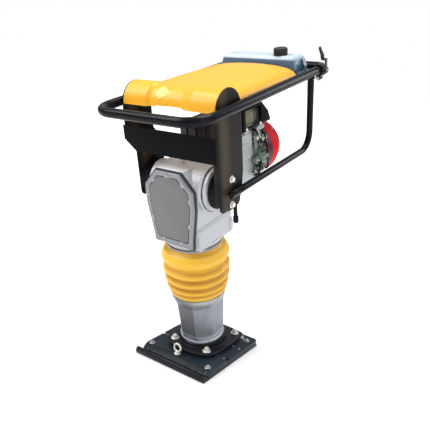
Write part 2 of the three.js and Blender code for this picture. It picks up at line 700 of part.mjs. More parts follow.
/** The tank stands behind the hood, with a low foot that runs forward under it. */
function fuelTank() {
  const { halfWidth, front, back, bottom, top, neckTop } = TANK;
  const side = [
    [front, bottom], [front, 910], [412, 914], [416, 954], [427, top], [482, top], [497, 957], [back, 940],
    [back, bottom],
  ];
  const end = mirrored([[halfWidth - 20, top], [halfWidth - 11, 958], [halfWidth, 925], [halfWidth, bottom]]);
  const shell = prismX(side, -halfWidth, halfWidth).intersect(prismY(end, front, back));
  const neck = rodZ(20, top - 2, neckTop, CAP.x, CAP.y, 20);
  const chamber = box(18 - halfWidth, halfWidth - 18, 422, back - 14, bottom + 4, 955);
  return cut(join(shell, neck), chamber, rodZ(16, 950, neckTop + 1, CAP.x, CAP.y, 20));
}

function fuelCap() {
  const { x, y, r, height, ribs } = CAP;
  const outline = Array.from({ length: ribs * 2 }, (_, i) => {
    const angle = (Math.PI * i) / ribs;
    const reach = i % 2 ? r - 1.8 : r;
    return [x + reach * Math.cos(angle), y + reach * Math.sin(angle)];
  });
  const base = TANK.neckTop + GAP;
  const crown = rodZ(r - 3, base + height - 4, base + height, x, y, 20, r - 7);
  return join(prismZ(outline, base, base + height - 3), crown);
}

/** A rubber bush between two bonded end plates; side is +1 for the left and -1 for the right. */
function avMount(side) {
  const plate = 13;
  const from = (side > 0 ? BOSS.left : BOSS.right) + GAP;
  const to = (side > 0 ? BRACKET.outer : BRACKET.joggled) - BRACKET.thick - GAP;
  const body = join(
    rodX(MOUNT_R, from, from + plate, ROCK.y, ROCK.z, 28),
    rodX(MOUNT_R - 5, from + plate - 1, to - plate + 1, ROCK.y, ROCK.z, 28),
    rodX(MOUNT_R, to - plate, to, ROCK.y, ROCK.z, 28));
  return onSide(side, body);
}

function bracketBolt(side, y, z) {
  const base = (side > 0 ? BRACKET.outer : BRACKET.joggled) + GAP;
  const bolt = join(rodX(11, base, base + 2, y, z, 20), prismX(hexagon(8.5, y, z), base + 1.5, base + 8));
  return onSide(side, bolt);
}

part('cross_plate', crossPlate(), 'blackSteel');
part('handle_loop', handleLoop(), 'blackSteel');
part('bracket_left', leftBracket(), 'darkSteel');
part('bracket_right', rightBracket(), 'darkSteel');
for (const [side, sign] of [['left', 1], ['right', -1]]) {
  part(`av_mount_${side}`, avMount(sign), 'blackRubber');
  part(`guard_tube_${side}`, guardTube(sign), 'blackSteel');
  part(`bracket_bolt_upper_${side}`, bracketBolt(sign, -19, 692), 'zinc');
  part(`bracket_bolt_lower_${side}`, bracketBolt(sign, -24, 614), 'zinc');
}
part('hood', hood(), 'yellowPlastic');
part('fuel_tank', fuelTank(), 'tankPlastic');
part('tank_tray', box(-174, 174, 352, 498, 896, 899), 'blackSteel');
part('fuel_cap', fuelCap(), 'blackPlastic');

// ---------------------------------------------------------------- throttle

function throttleClamp() {
  const { y } = THROTTLE;
  const z = loopZ(y);
  const ring = rodY(20, y - 12, y + 12, LOOP.halfWidth, z, 24);
  const bore = rodY(LOOP.tube + GAP, y - 13, y + 13, LOOP.halfWidth, z, 24);
  const adjuster = rodZ(5, z - 38, z - 18, LOOP.halfWidth, y, 12);
  return join(cut(ring, bore), adjuster);
}

/** The blade rises outside the clamp, then is cranked inward over it. */
function throttleLever() {
  const { y, hubX, bladeX, reach } = THROTTLE;
  const z = loopZ(y);
  const hub = rodX(11, hubX, hubX + 8, y, z, 20);
  const outline = [
    [y - 6, z], [y + 6, z], [y + 7, z + 42], [y - 18, z + reach], [y - 28, z + reach - 3], [y - 6, z + 41],
  ];
  const blade = cut(
    prismX(outline, bladeX, hubX + 5),
    box(bladeX - 1, hubX + 1, y - 60, y + 60, z - 5, z + 32),
    box(bladeX + 5, hubX + 6, y - 60, y + 60, z + 38, z + 100));
  return join(hub, blade);
}

part('throttle_clamp', throttleClamp(), 'castAluminium');
part('throttle_lever', throttleLever(), 'blackPlastic');

export default rammer;
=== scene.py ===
import math

import bmesh
import bpy
from mathutils import Matrix, Vector


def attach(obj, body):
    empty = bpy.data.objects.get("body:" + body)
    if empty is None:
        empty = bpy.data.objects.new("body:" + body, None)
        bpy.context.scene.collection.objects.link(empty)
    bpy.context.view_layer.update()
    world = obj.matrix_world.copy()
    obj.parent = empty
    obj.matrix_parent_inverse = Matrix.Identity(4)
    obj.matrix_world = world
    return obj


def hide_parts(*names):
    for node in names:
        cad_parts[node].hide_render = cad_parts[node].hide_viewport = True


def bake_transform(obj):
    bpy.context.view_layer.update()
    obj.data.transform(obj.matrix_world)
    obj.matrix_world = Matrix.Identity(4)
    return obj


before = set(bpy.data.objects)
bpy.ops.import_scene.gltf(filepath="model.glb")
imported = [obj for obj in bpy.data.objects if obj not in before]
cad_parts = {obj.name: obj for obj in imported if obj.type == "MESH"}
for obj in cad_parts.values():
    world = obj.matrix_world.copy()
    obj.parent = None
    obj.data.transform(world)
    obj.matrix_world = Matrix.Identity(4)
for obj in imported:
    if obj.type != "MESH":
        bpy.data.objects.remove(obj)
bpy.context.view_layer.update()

# Shapes are in millimetres in the machine's own leaning frame, unless a comment says otherwise, and build()
# turns them into metres in the row frame. The camera, the lights and the materials work in metres.
MM = 0.001
TILT = math.radians(12)
LEAN = Matrix.Translation((0, 32, 0)) @ Matrix.Rotation(TILT, 4, "X")
UPRIGHT = Matrix.Identity(4)
MACHINE_UP = (0, -math.sin(TILT), math.cos(TILT))
MACHINE_BACK = (0, math.cos(TILT), math.sin(TILT))

LOOP_HALF = 190
LOOP_FRONT, LOOP_BACK = (-178, 896.5), (568, 911)   # (y, z) of the handle loop's front and back runs
ROCK = (-18, 651)                                   # (y, z) of the axis that the handle frame rocks about
NOSE = (-13, 895)                                   # (y, z) of the centre of the hood's rounded nose
ENGINE_Z = 655
THROTTLE_Y = 515
PLATE_OUTER = (("left", 1, 174.5), ("right", -1, 139.0))    # side, sign of x, outer face of its side plate


# ------------------------------------------------------------------ camera, floor and light

def shown(name, data):
    """A new object in the scene."""
    obj = bpy.data.objects.new(name, data)
    bpy.context.scene.collection.objects.link(obj)
    return obj


def node(tree, kind, links=(), **values):
    """A new node; values set its properties or, as a dict named inputs, its sockets."""
    new = tree.nodes.new(kind)
    for key, value in values.pop("inputs", {}).items():
        new.inputs[key].default_value = value
    for key, value in values.items():
        setattr(new, key, value)
    for source, socket in links:
        tree.links.new(source, new.inputs[socket])
    return new


def ranged(tree, value, low, high, to_low=0.0, to_high=1.0, kind="LINEAR"):
    """A value mapped from one span onto another."""
    spans = {"From Min": low, "From Max": high, "To Min": to_low, "To Max": to_high}
    return node(tree, "ShaderNodeMapRange", [(value, "Value")], interpolation_type=kind,
                inputs=spans).outputs[0]


def camera():
    """Three-quarter view from the front left, a little above the hood, slightly rolled."""
    azimuth, elevation, roll = (math.radians(a) for a in (34.68, 15.37, 3.67))
    place_of_eye = (1.0078, -1.4066, 0.9815)
    back = Vector((math.sin(azimuth) * math.cos(elevation),
                   -math.cos(azimuth) * math.cos(elevation), math.sin(elevation)))
    level = Vector((math.cos(azimuth), math.sin(azimuth), 0))
    upright = back.cross(level)
    right = math.cos(roll) * level + math.sin(roll) * upright
    up = math.cos(roll) * upright - math.sin(roll) * level
    data = bpy.data.cameras.new("camera")
    data.sensor_width = 36.0
    data.lens = 44.84
    data.clip_end = 50
    eye = shown("camera", data)
    turn = Matrix((right, up, back)).transposed().to_4x4()
    eye.matrix_world = Matrix.Translation(place_of_eye) @ turn
    bpy.context.scene.camera = eye


def floor():
    """A pale ground whose glow grows with distance, so that it fades into the backdrop."""
    size = 30
    corners = [(-size, -size, 0), (size, -size, 0), (size, size, 0), (-size, size, 0)]
    mesh = bpy.data.meshes.new("floor")
    mesh.from_pydata(corners, [], [(0, 1, 2, 3)])
    obj = shown("floor", mesh)
    mat = bpy.data.materials.new("floor_white")
    mat.use_nodes = True
    tree = mat.node_tree
    shader = tree.nodes["Principled BSDF"]
    for socket, value in (("Base Color", (0.80, 0.80, 0.80, 1)), ("Roughness", 0.9),
                          ("Emission Color", (1, 1, 1, 1))):
        shader.inputs[socket].default_value = value
    where = node(tree, "ShaderNodeTexCoord").outputs["Object"]
    distance = node(tree, "ShaderNodeVectorMath", [(where, 0)], operation="LENGTH").outputs["Value"]
    glow = ranged(tree, distance, 0.6, 3.2, 0.24, 0.86, "SMOOTHSTEP")
    tree.links.new(glow, shader.inputs["Emission Strength"])
    mesh.materials.append(mat)


def light(name, at, aim, size, power, colour=(1, 1, 1)):
    """A soft box at one point that faces another."""
    data = bpy.data.lights.new(name, "AREA")
    data.shape = "RECTANGLE"
    data.size, data.size_y = size
    data.energy = power
    data.color = colour
    obj = shown(name, data)
    obj.location = at
    obj.rotation_euler = (Vector(aim) - Vector(at)).to_track_quat("-Z", "Y").to_euler()


def studio():
    """A white backdrop for the camera, a room that is dimmer near the horizon, and five soft boxes."""
    world = bpy.data.worlds.new("studio")
    world.use_nodes = True
    tree = world.node_tree
    room = tree.nodes["Background"]
    room.inputs["Strength"].default_value = 0.98
    backdrop = node(tree, "ShaderNodeBackground", inputs={"Strength": 1.0, "Color": (1, 1, 1, 1)})
    coords = node(tree, "ShaderNodeTexCoord").outputs["Generated"]
    height = node(tree, "ShaderNodeSeparateXYZ", [(coords, 0)]).outputs["Z"]
    ramp = node(tree, "ShaderNodeValToRGB", [(ranged(tree, height, -1, 1), "Fac")])
    stops = [(0.0, 0.30), (0.42, 0.10), (0.56, 0.16), (0.72, 0.62), (1.0, 0.72)]
    while len(ramp.color_ramp.elements) < len(stops):
        ramp.color_ramp.elements.new(0.5)
    for element, (at, grey) in zip(ramp.color_ramp.elements, stops):
        element.position = at
        element.color = (grey, grey, grey * 1.02, 1)
    tree.links.new(ramp.outputs["Color"], room.inputs["Color"])
    seen = node(tree, "ShaderNodeLightPath").outputs["Is Camera Ray"]
    mix = node(tree, "ShaderNodeMixShader", [(seen, "Fac"), (room.outputs[0], 1), (backdrop.outputs[0], 2)])
    tree.links.new(mix.outputs[0], tree.nodes["World Output"].inputs["Surface"])
    bpy.context.scene.world = world
    cool = (0.93, 0.96, 1)
    light("key", (-1.6, -1.8, 2.75), (0, 0, 0.6), (1.9, 1.9), 70)
    light("glint", (-1.6, -0.8, 3.3), (0, 0, 0.9), (0.5, 0.5), 12)
    light("side", (2.4, -0.6, 1.3), (0, 0.1, 0.6), (1.5, 1.9), 15, cool)
    light("rim", (1.4, 2.2, 1.9), (0, 0, 0.7), (0.8, 1.6), 20, cool)
    light("top", (0.2, 0.3, 3.0), (0, 0, 0.5), (1.5, 1.0), 34)
    bpy.context.scene.view_settings.view_transform = "Standard"


# ------------------------------------------------------------------ materials

DUST = (0.36, 0.30, 0.23, 1)


def scaled(colour, factor):
    return tuple(min(1.0, c * factor) for c in colour) + (1,)


def noise(tree, where, scale, detail):
    values = {"Scale": scale, "Detail": detail}
    return node(tree, "ShaderNodeTexNoise", [(where, "Vector")], inputs=values).outputs["Fac"]


def dot(tree, vector, direction):
    new = node(tree, "ShaderNodeVectorMath", [(vector, 0)], operation="DOT_PRODUCT")
    new.inputs[1].default_value = direction
    return new.outputs["Value"]


def product(tree, value, factor):
    """A value times another socket."""
    return node(tree, "ShaderNodeMath", [(value, 0), (factor, 1)], operation="MULTIPLY").outputs[0]


def times(tree, value, number):
    """A value times a number."""
    new = node(tree, "ShaderNodeMath", [(value, 0)], operation="MULTIPLY")
    new.inputs[1].default_value = number
    return new.outputs[0]


def painted(tree, under, factor, colour):
    """The colour under, covered with another as far as the factor says."""
    over = node(tree, "ShaderNodeMix", [(factor, "Factor"), (under, "A")], data_type="RGBA")
    over.inputs["B"].default_value = colour
    return over.outputs["Result"]


def finish(name, colour, rough, metal=0.0, mottle=0.12, patch=22, grain=0.12, fine=700, uneven=0.10,
           edge_wear_and_highlight=None, edge_wear_and_highlight_colour=(0.55, 0.55, 0.55), streak=None, dust=None, coat=0.0, specular=0.5, layers=None,
           gradient=None, lengthwise=None, fold_shade=None, facing_light_and_shade=None):
    """A procedural finish: mottled colour, uneven gloss, fine bump, chipped edges, streaks and dust, and on
    some finishes painted light and shade.

    gradient is (low, high, share below, share above, shade) up the machine. lengthwise is (low, high, shade)
    along it, and may add where the shade fades out again. facing is (direction, low, high, shade), painted
    light and shade by the way a face looks, folds is (reach, open, closed, shade), painted shade in hollows,
    and layers is (waves per metre, depth). The edge colour marks chipped edges, and on some finishes a
    painted highlight.
    """
    mat = bpy.data.materials.new(name)
    mat.use_nodes = True
    tree = mat.node_tree
    shader = tree.nodes["Principled BSDF"]
    for socket, value in (("Metallic", metal), ("Coat Weight", coat), ("Coat Roughness", 0.12),
                          ("Specular IOR Level", specular)):
        shader.inputs[socket].default_value = value
    coords = node(tree, "ShaderNodeTexCoord").outputs["Object"]
    broad = noise(tree, coords, patch, 5.0)
    tint = node(tree, "ShaderNodeMix", [(broad, "Factor")], data_type="RGBA")
    tint.inputs["A"].default_value = scaled(colour, 1 - mottle)
    tint.inputs["B"].default_value = scaled(colour, 1 + mottle)
    out = tint.outputs["Result"]
    height = noise(tree, coords, fine, 3.0)
    # A colour by height up the machine; on the tank it is painted shade mixed with fuel seen through the
    # plastic.
    if gradient:
        low, high, lower, upper, shade = gradient
        rise = ranged(tree, dot(tree, coords, MACHINE_UP), low, high, lower, upper, "SMOOTHSTEP")
        out = painted(tree, out, rise, shade + (1,))
    # A colour along the machine; on the side plates it is a painted sheen.
    if lengthwise:
        low, high, shade, *fade = lengthwise
        along = dot(tree, coords, MACHINE_BACK)
        share = ranged(tree, along, low, high, kind="SMOOTHSTEP")
        if fade:
            share = product(tree, share, ranged(tree, along, fade[1], fade[0], kind="SMOOTHSTEP"))
        out = painted(tree, out, share, shade + (1,))
    # Painted light and shade: a colour by the way a face looks.
    if facing_light_and_shade:
        towards, low, high, shade = facing_light_and_shade
        outward = node(tree, "ShaderNodeNewGeometry").outputs["Normal"]
        out = painted(tree, out, ranged(tree, dot(tree, outward, towards), low, high), shade + (1,))
    # Painted shade: darker where ambient occlusion finds a hollow.
    if fold_shade:
        reach, open_share, closed_share, shade = fold_shade
        hollow = node(tree, "ShaderNodeAmbientOcclusion", samples=6,
                      inputs={"Distance": reach}).outputs["AO"]
        out = painted(tree, out, ranged(tree, hollow, open_share, closed_share), shade + (1,))
    if layers:
        count, depth = layers
        level = node(tree, "ShaderNodeSeparateXYZ", [(coords, "Vector")]).outputs["Z"]
        wave = node(tree, "ShaderNodeMath", [(times(tree, level, count), 0)], operation="SINE").outputs[0]
        out = painted(tree, out, ranged(tree, wave, -1, 1, 0, depth), scaled(colour, 0.35))
    if streak:
        drawn = node(tree, "ShaderNodeMapping", [(coords, "Vector")], inputs={"Scale": streak}).outputs[0]
        height = noise(tree, drawn, 1.0, 6.0)
        out = painted(tree, out, ranged(tree, height, 0.3, 0.7, 0, 0.55), scaled(colour, 0.62))
    if dust:
        clouds = noise(tree, coords, 9.0, 8.0)
        out = painted(tree, out, ranged(tree, clouds, 0.46, 0.78, 0, dust), DUST)
    # On most finishes this colours chipped edges; on the tank and the shoe's front strip the light edge
    # colour is a painted highlight.
    if edge_wear_and_highlight:
        rounded = node(tree, "ShaderNodeBevel", samples=3, inputs={"Radius": 0.0018}).outputs[0]
        flat = node(tree, "ShaderNodeNewGeometry").outputs["Normal"]
        bent_by = node(tree, "ShaderNodeVectorMath", [(rounded, 0), (flat, 1)], operation="DOT_PRODUCT")
        edge = ranged(tree, bent_by.outputs["Value"], 0.985, 0.86)
        broken_up = ranged(tree, noise(tree, coords, 120.0, 4.0), 0.35, 0.62)
        out = painted(tree, out, times(tree, product(tree, edge, broken_up), edge_wear_and_highlight), edge_wear_and_highlight_colour + (1,))
    tree.links.new(out, shader.inputs["Base Color"])
    gloss = ranged(tree, broad, 0.25, 0.75, max(0.02, rough - uneven), min(1.0, rough + uneven))
    tree.links.new(gloss, shader.inputs["Roughness"])
    bump = node(tree, "ShaderNodeBump", [(height, "Height")], inputs={"Strength": grain, "Distance": 0.0006})
    tree.links.new(bump.outputs[0], shader.inputs["Normal"])
    return mat


FINISHES = {
    "black_steel": dict(colour=(0.0034, 0.0036, 0.0044), rough=0.40, mottle=0.35, grain=0.05, edge_wear_and_highlight=0.25,
        edge_wear_and_highlight_colour=(0.05, 0.05, 0.055), dust=0.004, specular=0.04),
    "tube_paint": dict(colour=(0.0045, 0.005, 0.007), rough=0.20, mottle=0.35, patch=40, grain=0.04,
        fine=500, uneven=0.06, edge_wear_and_highlight=0.2, edge_wear_and_highlight_colour=(0.05, 0.05, 0.06), dust=0.004, specular=0.10),
    # Side plates: the warm brown band part way along the machine is a painted sheen.
    "plate_steel": dict(colour=(0.010, 0.0085, 0.007), rough=0.40, metal=0.05, mottle=0.55, patch=9,
        grain=0.07, edge_wear_and_highlight=0.4, edge_wear_and_highlight_colour=(0.22, 0.20, 0.18), dust=0.015, specular=0.12, streak=(16, 16, 2.5),
        lengthwise=(-0.044, -0.014, (0.062, 0.045, 0.029), -0.006, 0.026)),
    "shoe_steel": dict(colour=(0.009, 0.010, 0.013), rough=0.34, mottle=0.5, patch=16, grain=0.10, edge_wear_and_highlight=0.5,
        edge_wear_and_highlight_colour=(0.12, 0.14, 0.17), dust=0.015, specular=0.18),
    # Shoe's front strip: the light edge colour is a painted highlight along its edges.
    "strip_steel": dict(colour=(0.010, 0.014, 0.019), rough=0.46, metal=0.05, mottle=0.35, patch=18,
        grain=0.10, edge_wear_and_highlight=0.9, edge_wear_and_highlight_colour=(0.50, 0.60, 0.70), dust=0.02, specular=0.2),
    "dark_steel": dict(colour=(0.06, 0.055, 0.05), rough=0.42, metal=0.7, mottle=0.3, edge_wear_and_highlight=0.3),
    "cast_aluminium": dict(colour=(0.40, 0.42, 0.43), rough=0.38, metal=0.45, mottle=0.14, patch=34,
        grain=0.30, fine=1100, edge_wear_and_highlight=0.35, edge_wear_and_highlight_colour=(0.72, 0.73, 0.75), dust=0.05),
    # Gearbox casting: faces that look up the machine are painted lighter, a painted light on its top, which
    # lies in shade under the hood and the front plate.
    "case_paint": dict(colour=(0.46, 0.47, 0.49), rough=0.40, metal=0.15, mottle=0.07, patch=30, grain=0.22,
        fine=1000, uneven=0.06, edge_wear_and_highlight=0.5, edge_wear_and_highlight_colour=(0.78, 0.79, 0.80), dust=0.03, coat=0.1,
        facing_light_and_shade=((0, -0.208, 0.978), 0.62, 0.92, (0.97, 0.98, 1.0))),
    # Leg: facets that face forward and towards the machine's right are painted darker, a painted shade.
    "leg_metal": dict(colour=(0.300, 0.325, 0.355), rough=0.36, metal=0.45, mottle=0.18, patch=14,
        grain=0.07, uneven=0.10, streak=(55, 55, 3.0), edge_wear_and_highlight=0.9, edge_wear_and_highlight_colour=(0.70, 0.73, 0.78),
        facing_light_and_shade=((-0.45, -0.89, 0.0), 0.50, 0.86, (0.145, 0.150, 0.160)),
        gradient=(0.212, 0.230, 0.0, 0.8, (0.50, 0.51, 0.49))),
    "ring_metal": dict(colour=(0.62, 0.67, 0.74), rough=0.34, metal=0.4, mottle=0.2, patch=40, grain=0.06,
        streak=(60, 60, 4), edge_wear_and_highlight=0.3, edge_wear_and_highlight_colour=(0.72, 0.76, 0.82)),
    "engine_grime": dict(colour=(0.200, 0.255, 0.195), rough=0.40, metal=0.35, mottle=0.55, patch=90,
        grain=0.30, fine=800, edge_wear_and_highlight=0.7, edge_wear_and_highlight_colour=(0.62, 0.68, 0.68), dust=0.12),
    "machined": dict(colour=(0.78, 0.79, 0.81), rough=0.34, metal=0.35, mottle=0.06, grain=0.06,
        streak=(200, 9, 9), edge_wear_and_highlight=0.2, edge_wear_and_highlight_colour=(0.85, 0.85, 0.86)),
    "cover_grey": dict(colour=(0.150, 0.150, 0.150), rough=0.50, metal=0.15, mottle=0.07, patch=26,
        grain=0.20, fine=900, uneven=0.06, edge_wear_and_highlight=1.0, edge_wear_and_highlight_colour=(0.46, 0.48, 0.50), dust=0.02),
    "cover_rim": dict(colour=(0.235, 0.245, 0.262), rough=0.44, metal=0.25, mottle=0.16, patch=60,
        grain=0.20, fine=900, edge_wear_and_highlight=1.0, edge_wear_and_highlight_colour=(0.55, 0.58, 0.62), dust=0.08),
    "gasket": dict(colour=(0.030, 0.034, 0.040), rough=0.6, mottle=0.4, patch=90, grain=0.2, dust=0.05),
    # Dark teal panel in the tank's side recess: painted shade of the recess, with fuel seen through the
    # wall; lighter teal towards the bottom.
    "recess_shade_window": dict(colour=(0.012, 0.070, 0.105), rough=0.25, mottle=0.5, patch=26, grain=0.06,
        coat=0.2, gradient=(0.915, 0.950, 1.0, 0.0, (0.022, 0.150, 0.175))),
    "band_metal": dict(colour=(0.30, 0.30, 0.29), rough=0.40, metal=0.4, mottle=0.2, patch=60, grain=0.05,
        edge_wear_and_highlight=0.2),
    "steel": dict(colour=(0.45, 0.45, 0.46), rough=0.30, metal=0.9, mottle=0.12, patch=60, grain=0.05),
    "zinc": dict(colour=(0.74, 0.73, 0.68), rough=0.34, metal=0.6, mottle=0.08, patch=60, grain=0.04),
    # Bellows: the valleys are painted a darker orange-brown where ambient occlusion finds them, a painted
    # shade in the folds.
    "yellow_rubber": dict(colour=(0.80, 0.465, 0.036), rough=0.40, mottle=0.06, patch=13, grain=0.10,
        fine=420, uneven=0.06, edge_wear_and_highlight=0.15, edge_wear_and_highlight_colour=(0.86, 0.56, 0.10), specular=0.42,
        fold_shade=(0.030, 0.96, 0.60, (0.40, 0.130, 0.004))),
    "yellow_plastic": dict(colour=(0.81, 0.385, 0.016), rough=0.36, mottle=0.05, patch=6, grain=0.04,
        fine=260, uneven=0.05, edge_wear_and_highlight=0.2, edge_wear_and_highlight_colour=(0.90, 0.60, 0.18), coat=0.05, specular=0.34,
        lengthwise=(0.24, 0.46, (0.81, 0.372, 0.012))),
    # Hood facet pad: a lighter yellow, a painted highlight on the facet.
    "facet_highlight_plastic": dict(colour=(0.84, 0.53, 0.14), rough=0.36, mottle=0.12, patch=30, grain=0.04,
        specular=0.3),
    # Tank: darker teal low on its sides and lighter on top, partly fuel seen through the plastic and partly
    # painted shade; the light edge colour is a painted highlight along its edges.
    "tank_plastic": dict(colour=(0.43, 0.53, 0.595), rough=0.34, mottle=0.05, patch=11, grain=0.10,
        fine=520, gradient=(0.943, 0.956, 1.0, 0.0, (0.060, 0.115, 0.180)), coat=0.1, edge_wear_and_highlight=0.95,
        edge_wear_and_highlight_colour=(0.72, 0.84, 0.93)),
    "black_rubber": dict(colour=(0.0055, 0.006, 0.0075), rough=0.50, mottle=0.3, grain=0.30, fine=600,
        dust=0.01, specular=0.12),
    "black_plastic": dict(colour=(0.010, 0.010, 0.010), rough=0.42, mottle=0.3, grain=0.30, fine=900,
        dust=0.02, edge_wear_and_highlight=0.2, edge_wear_and_highlight_colour=(0.06, 0.06, 0.06), specular=0.35),
    "red_plastic": dict(colour=(0.60, 0.008, 0.012), rough=0.50, mottle=0.22, grain=0.12, fine=500,
        edge_wear_and_highlight=0.15, edge_wear_and_highlight_colour=(0.7, 0.14, 0.12), specular=0.08),
    # Fan housing: a very dark red, the housing's red with painted shade in it.
    "fan_red_painted_shade": dict(colour=(0.085, 0.006, 0.012), rough=0.42, mottle=0.4, patch=40, grain=0.12,
        specular=0.2),
    "heated_steel": dict(colour=(0.16, 0.135, 0.07), rough=0.45, metal=0.5, mottle=0.5, patch=40,
        grain=0.20, dust=0.15),
    "olive_paint": dict(colour=(0.025, 0.035, 0.022), rough=0.5, mottle=0.4, grain=0.2),
    "maroon_paint": dict(colour=(0.014, 0.006, 0.006), rough=0.42, mottle=0.5, patch=40, grain=0.15,
        dust=0.02, edge_wear_and_highlight=0.3, edge_wear_and_highlight_colour=(0.10, 0.09, 0.08), specular=0.3),
    "laminate": dict(colour=(0.012, 0.023, 0.036), rough=0.36, mottle=0.40, patch=10, grain=0.10, fine=300,
        layers=(2100, 0.35), dust=0.02, edge_wear_and_highlight=0.35, edge_wear_and_highlight_colour=(0.09, 0.11, 0.14), specular=0.22),
}


# ------------------------------------------------------------------ shapes: (points, faces) in millimetres

def merge(*shapes):
    points, faces = [], []
    for more_points, more_faces in shapes:
        base = len(points)
        points += more_points
        faces += [tuple(base + i for i in face) for face in more_faces]
    return points, faces


def moved(shape, matrix):
    points, faces = shape
    return [tuple(matrix @ Vector(p)) for p in points], faces


def loft(rings, caps=True, closed=False):
    """Skins rings of equal length; closed joins the last ring back to the first."""
    count = len(rings[0])
    points = [tuple(p) for ring in rings for p in ring]
    faces = []
    pairs = list(zip(range(len(rings) - 1), range(1, len(rings))))
    if closed:
        pairs.append((len(rings) - 1, 0))
    for a, b in pairs:
        for i in range(count):
            j = (i + 1) % count
            faces.append((a * count + i, a * count + j, b * count + j, b * count + i))
    if caps and not closed:
        faces.append(tuple(reversed(range(count))))
        faces.append(tuple((len(rings) - 1) * count + i for i in range(count)))
    return points, faces


def on_axis(axis, centre, u, v, t):
    """A point from two coordinates across an axis and one along it."""
    cu, cv = centre
    return {"z": (cu + u, cv + v, t), "y": (cu + u, t, cv + v), "x": (t, cu + u, cv + v)}[axis]


def revolve(profile, axis="z", centre=(0, 0), steps=64, closed=False, shape=None):
    """Turns (radius, height) points about an axis; shape(angle, radius, height) may change the radius."""
    rings = []
    for r, t in profile:
        ring = []
        for i in range(steps):
            a = 2 * math.pi * i / steps
            reach = shape(a, r, t) if shape else r
            ring.append(on_axis(axis, centre, reach * math.cos(a), reach * math.sin(a), t))
        rings.append(ring)
    return loft(rings, closed=closed)


def prism(outline, a, b, axis):
    """Extrudes an outline: [y, z] along x, [x, z] along y, or [x, y] along z."""
    return loft([[on_axis(axis, (0, 0), u, v, t) for u, v in outline] for t in (a, b)])


def block(x0, x1, y0, y1, z0, z1):
    return prism([(x0, y0), (x1, y0), (x1, y1), (x0, y1)], z0, z1, "z")


def rounded_box(x0, x1, y0, y1, z0, z1, r, axis="x", steps=5):
    """A box whose four edges along one axis are rounded."""
    spans = {"x": ((y0, y1), (z0, z1), (x0, x1)), "y": ((x0, x1), (z0, z1), (y0, y1)),
             "z": ((x0, x1), (y0, y1), (z0, z1))}[axis]
    (u0, u1), (v0, v1), (t0, t1) = spans
    outline = []
    for cu, cv, start in ((u1 - r, v1 - r, 0), (u0 + r, v1 - r, 90), (u0 + r, v0 + r, 180),
                          (u1 - r, v0 + r, 270)):
        outline += arc(cu, cv, r, start, start + 90, steps)
    return prism(outline, t0, t1, axis)


def arc(cx, cy, r, start, end, steps):
    spread = [math.radians(start + (end - start) * i / steps) for i in range(steps + 1)]
    return [(cx + r * math.cos(a), cy + r * math.sin(a)) for a in spread]


def bent(corners, steps=12):
    """Points along straight runs joined by arcs; corners = [(x, y, z, bend radius), ...]."""
    at = [Vector(c[:3]) for c in corners]
    path = [at[0]]
    for i in range(1, len(at) - 1):
        into, out = (at[i] - at[i - 1]).normalized(), (at[i + 1] - at[i]).normalized()
        turn = into.angle(out)
        radius = corners[i][3]
        reach = radius * math.tan(turn / 2)
        centre = at[i] + (out - into).normalized() * (radius / math.cos(turn / 2))
        start, end = at[i] - into * reach - centre, at[i] + out * reach - centre
        for k in range(steps + 1):
            s = k / steps
            path.append(centre + start * (math.sin((1 - s) * turn) / math.sin(turn))
                        + end * (math.sin(s * turn) / math.sin(turn)))
    return path + [at[-1]]


def straightened(path, gap=14):
    """Adds points along the long straight runs of a path."""
    out = [Vector(path[0])]
    for p in path[1:]:
        p = Vector(p)
        last = out[-1]
        pieces = max(1, round((p - last).length / gap))
        out += [last.lerp(p, k / pieces) for k in range(1, pieces + 1)]
    return out


def sweep(path, radius, sides=20, up=(0, 0, 1), squash=None, closed=False):
    """A tube; radius(share) and squash(share) -> (across, upward) factors change along its length."""
    path = [Vector(p) for p in path]
    last = len(path) - 1
    rings = []
    side = None
    for i, p in enumerate(path):
        before = path[i - 1] if i or closed else path[i]
        after = path[(i + 1) % len(path)] if i < last or closed else path[i]
        along = (after - before).normalized()
        if side is None:
            side = along.cross(Vector(up)).normalized()
        side = (side - along * side.dot(along)).normalized()
        high = side.cross(along)
        share = i / last
        r = radius(share) if callable(radius) else radius
        across, upward = squash(share) if squash else (1, 1)
        rings.append([p + side * (r * across * math.cos(a)) + high * (r * upward * math.sin(a))
                      for a in (2 * math.pi * k / sides for k in range(sides))])
    return loft(rings, closed=closed)


def six_flats(r):
    """For revolve: keeps a radius inside a hexagon with its corners at r."""
    def reach(a, limit, _):
        return min(limit, r * math.cos(math.pi / 6) / math.cos((a % (math.pi / 3)) - math.pi / 6))
    return reach


def bolt_head(u, v, base, r, h):
    """A hexagon bolt head on a face that looks along X; h is negative on the right side."""
    profile = [(r * 1.01, base), (r * 1.01, base + h * 0.78), (r * 0.95, base + h * 0.9),
               (r * 0.86, base + h)]
    return revolve(profile, "x", (u, v), 48, shape=six_flats(r))


def hex_nut(x, y, z, r, h, axis="z", dome=0.5):
    """A hexagon with chamfered corners on the side away from its seat."""
    chamfer = 0.16 * r
    profile = [(r, z), (r * 1.01, z + h - chamfer), (r * 0.955, z + h - chamfer * 0.45), (r * 0.86, z + h)]
    if dome:
        profile += [(r * dome, z + h)]
    return revolve(profile, axis, (x, y), 48, shape=six_flats(r))


def washer(x, y, z, r, h, axis="z", edge=0.5):
    lip = math.copysign(min(edge, abs(h) / 2), h)
    return revolve([(r - edge, z), (r, z + lip), (r, z + h - lip), (r - edge, z + h)], axis, (x, y), 40)


def thread(x, y, z0, z1, r, axis="z", pitch=1.6):
    """A plain run of thread crests with a chamfered tip."""
    count = max(2, round((z1 - z0) / pitch))
    profile = [(r - 0.5, z0)]
    for i in range(count):
        z = z0 + (z1 - z0) * (i + 0.5) / count
        profile += [(r, z), (r - 0.5, z + (z1 - z0) * 0.5 / count)]
    profile[-1] = (r - 1.2, z1)
    return revolve(profile, axis, (x, y), 24)


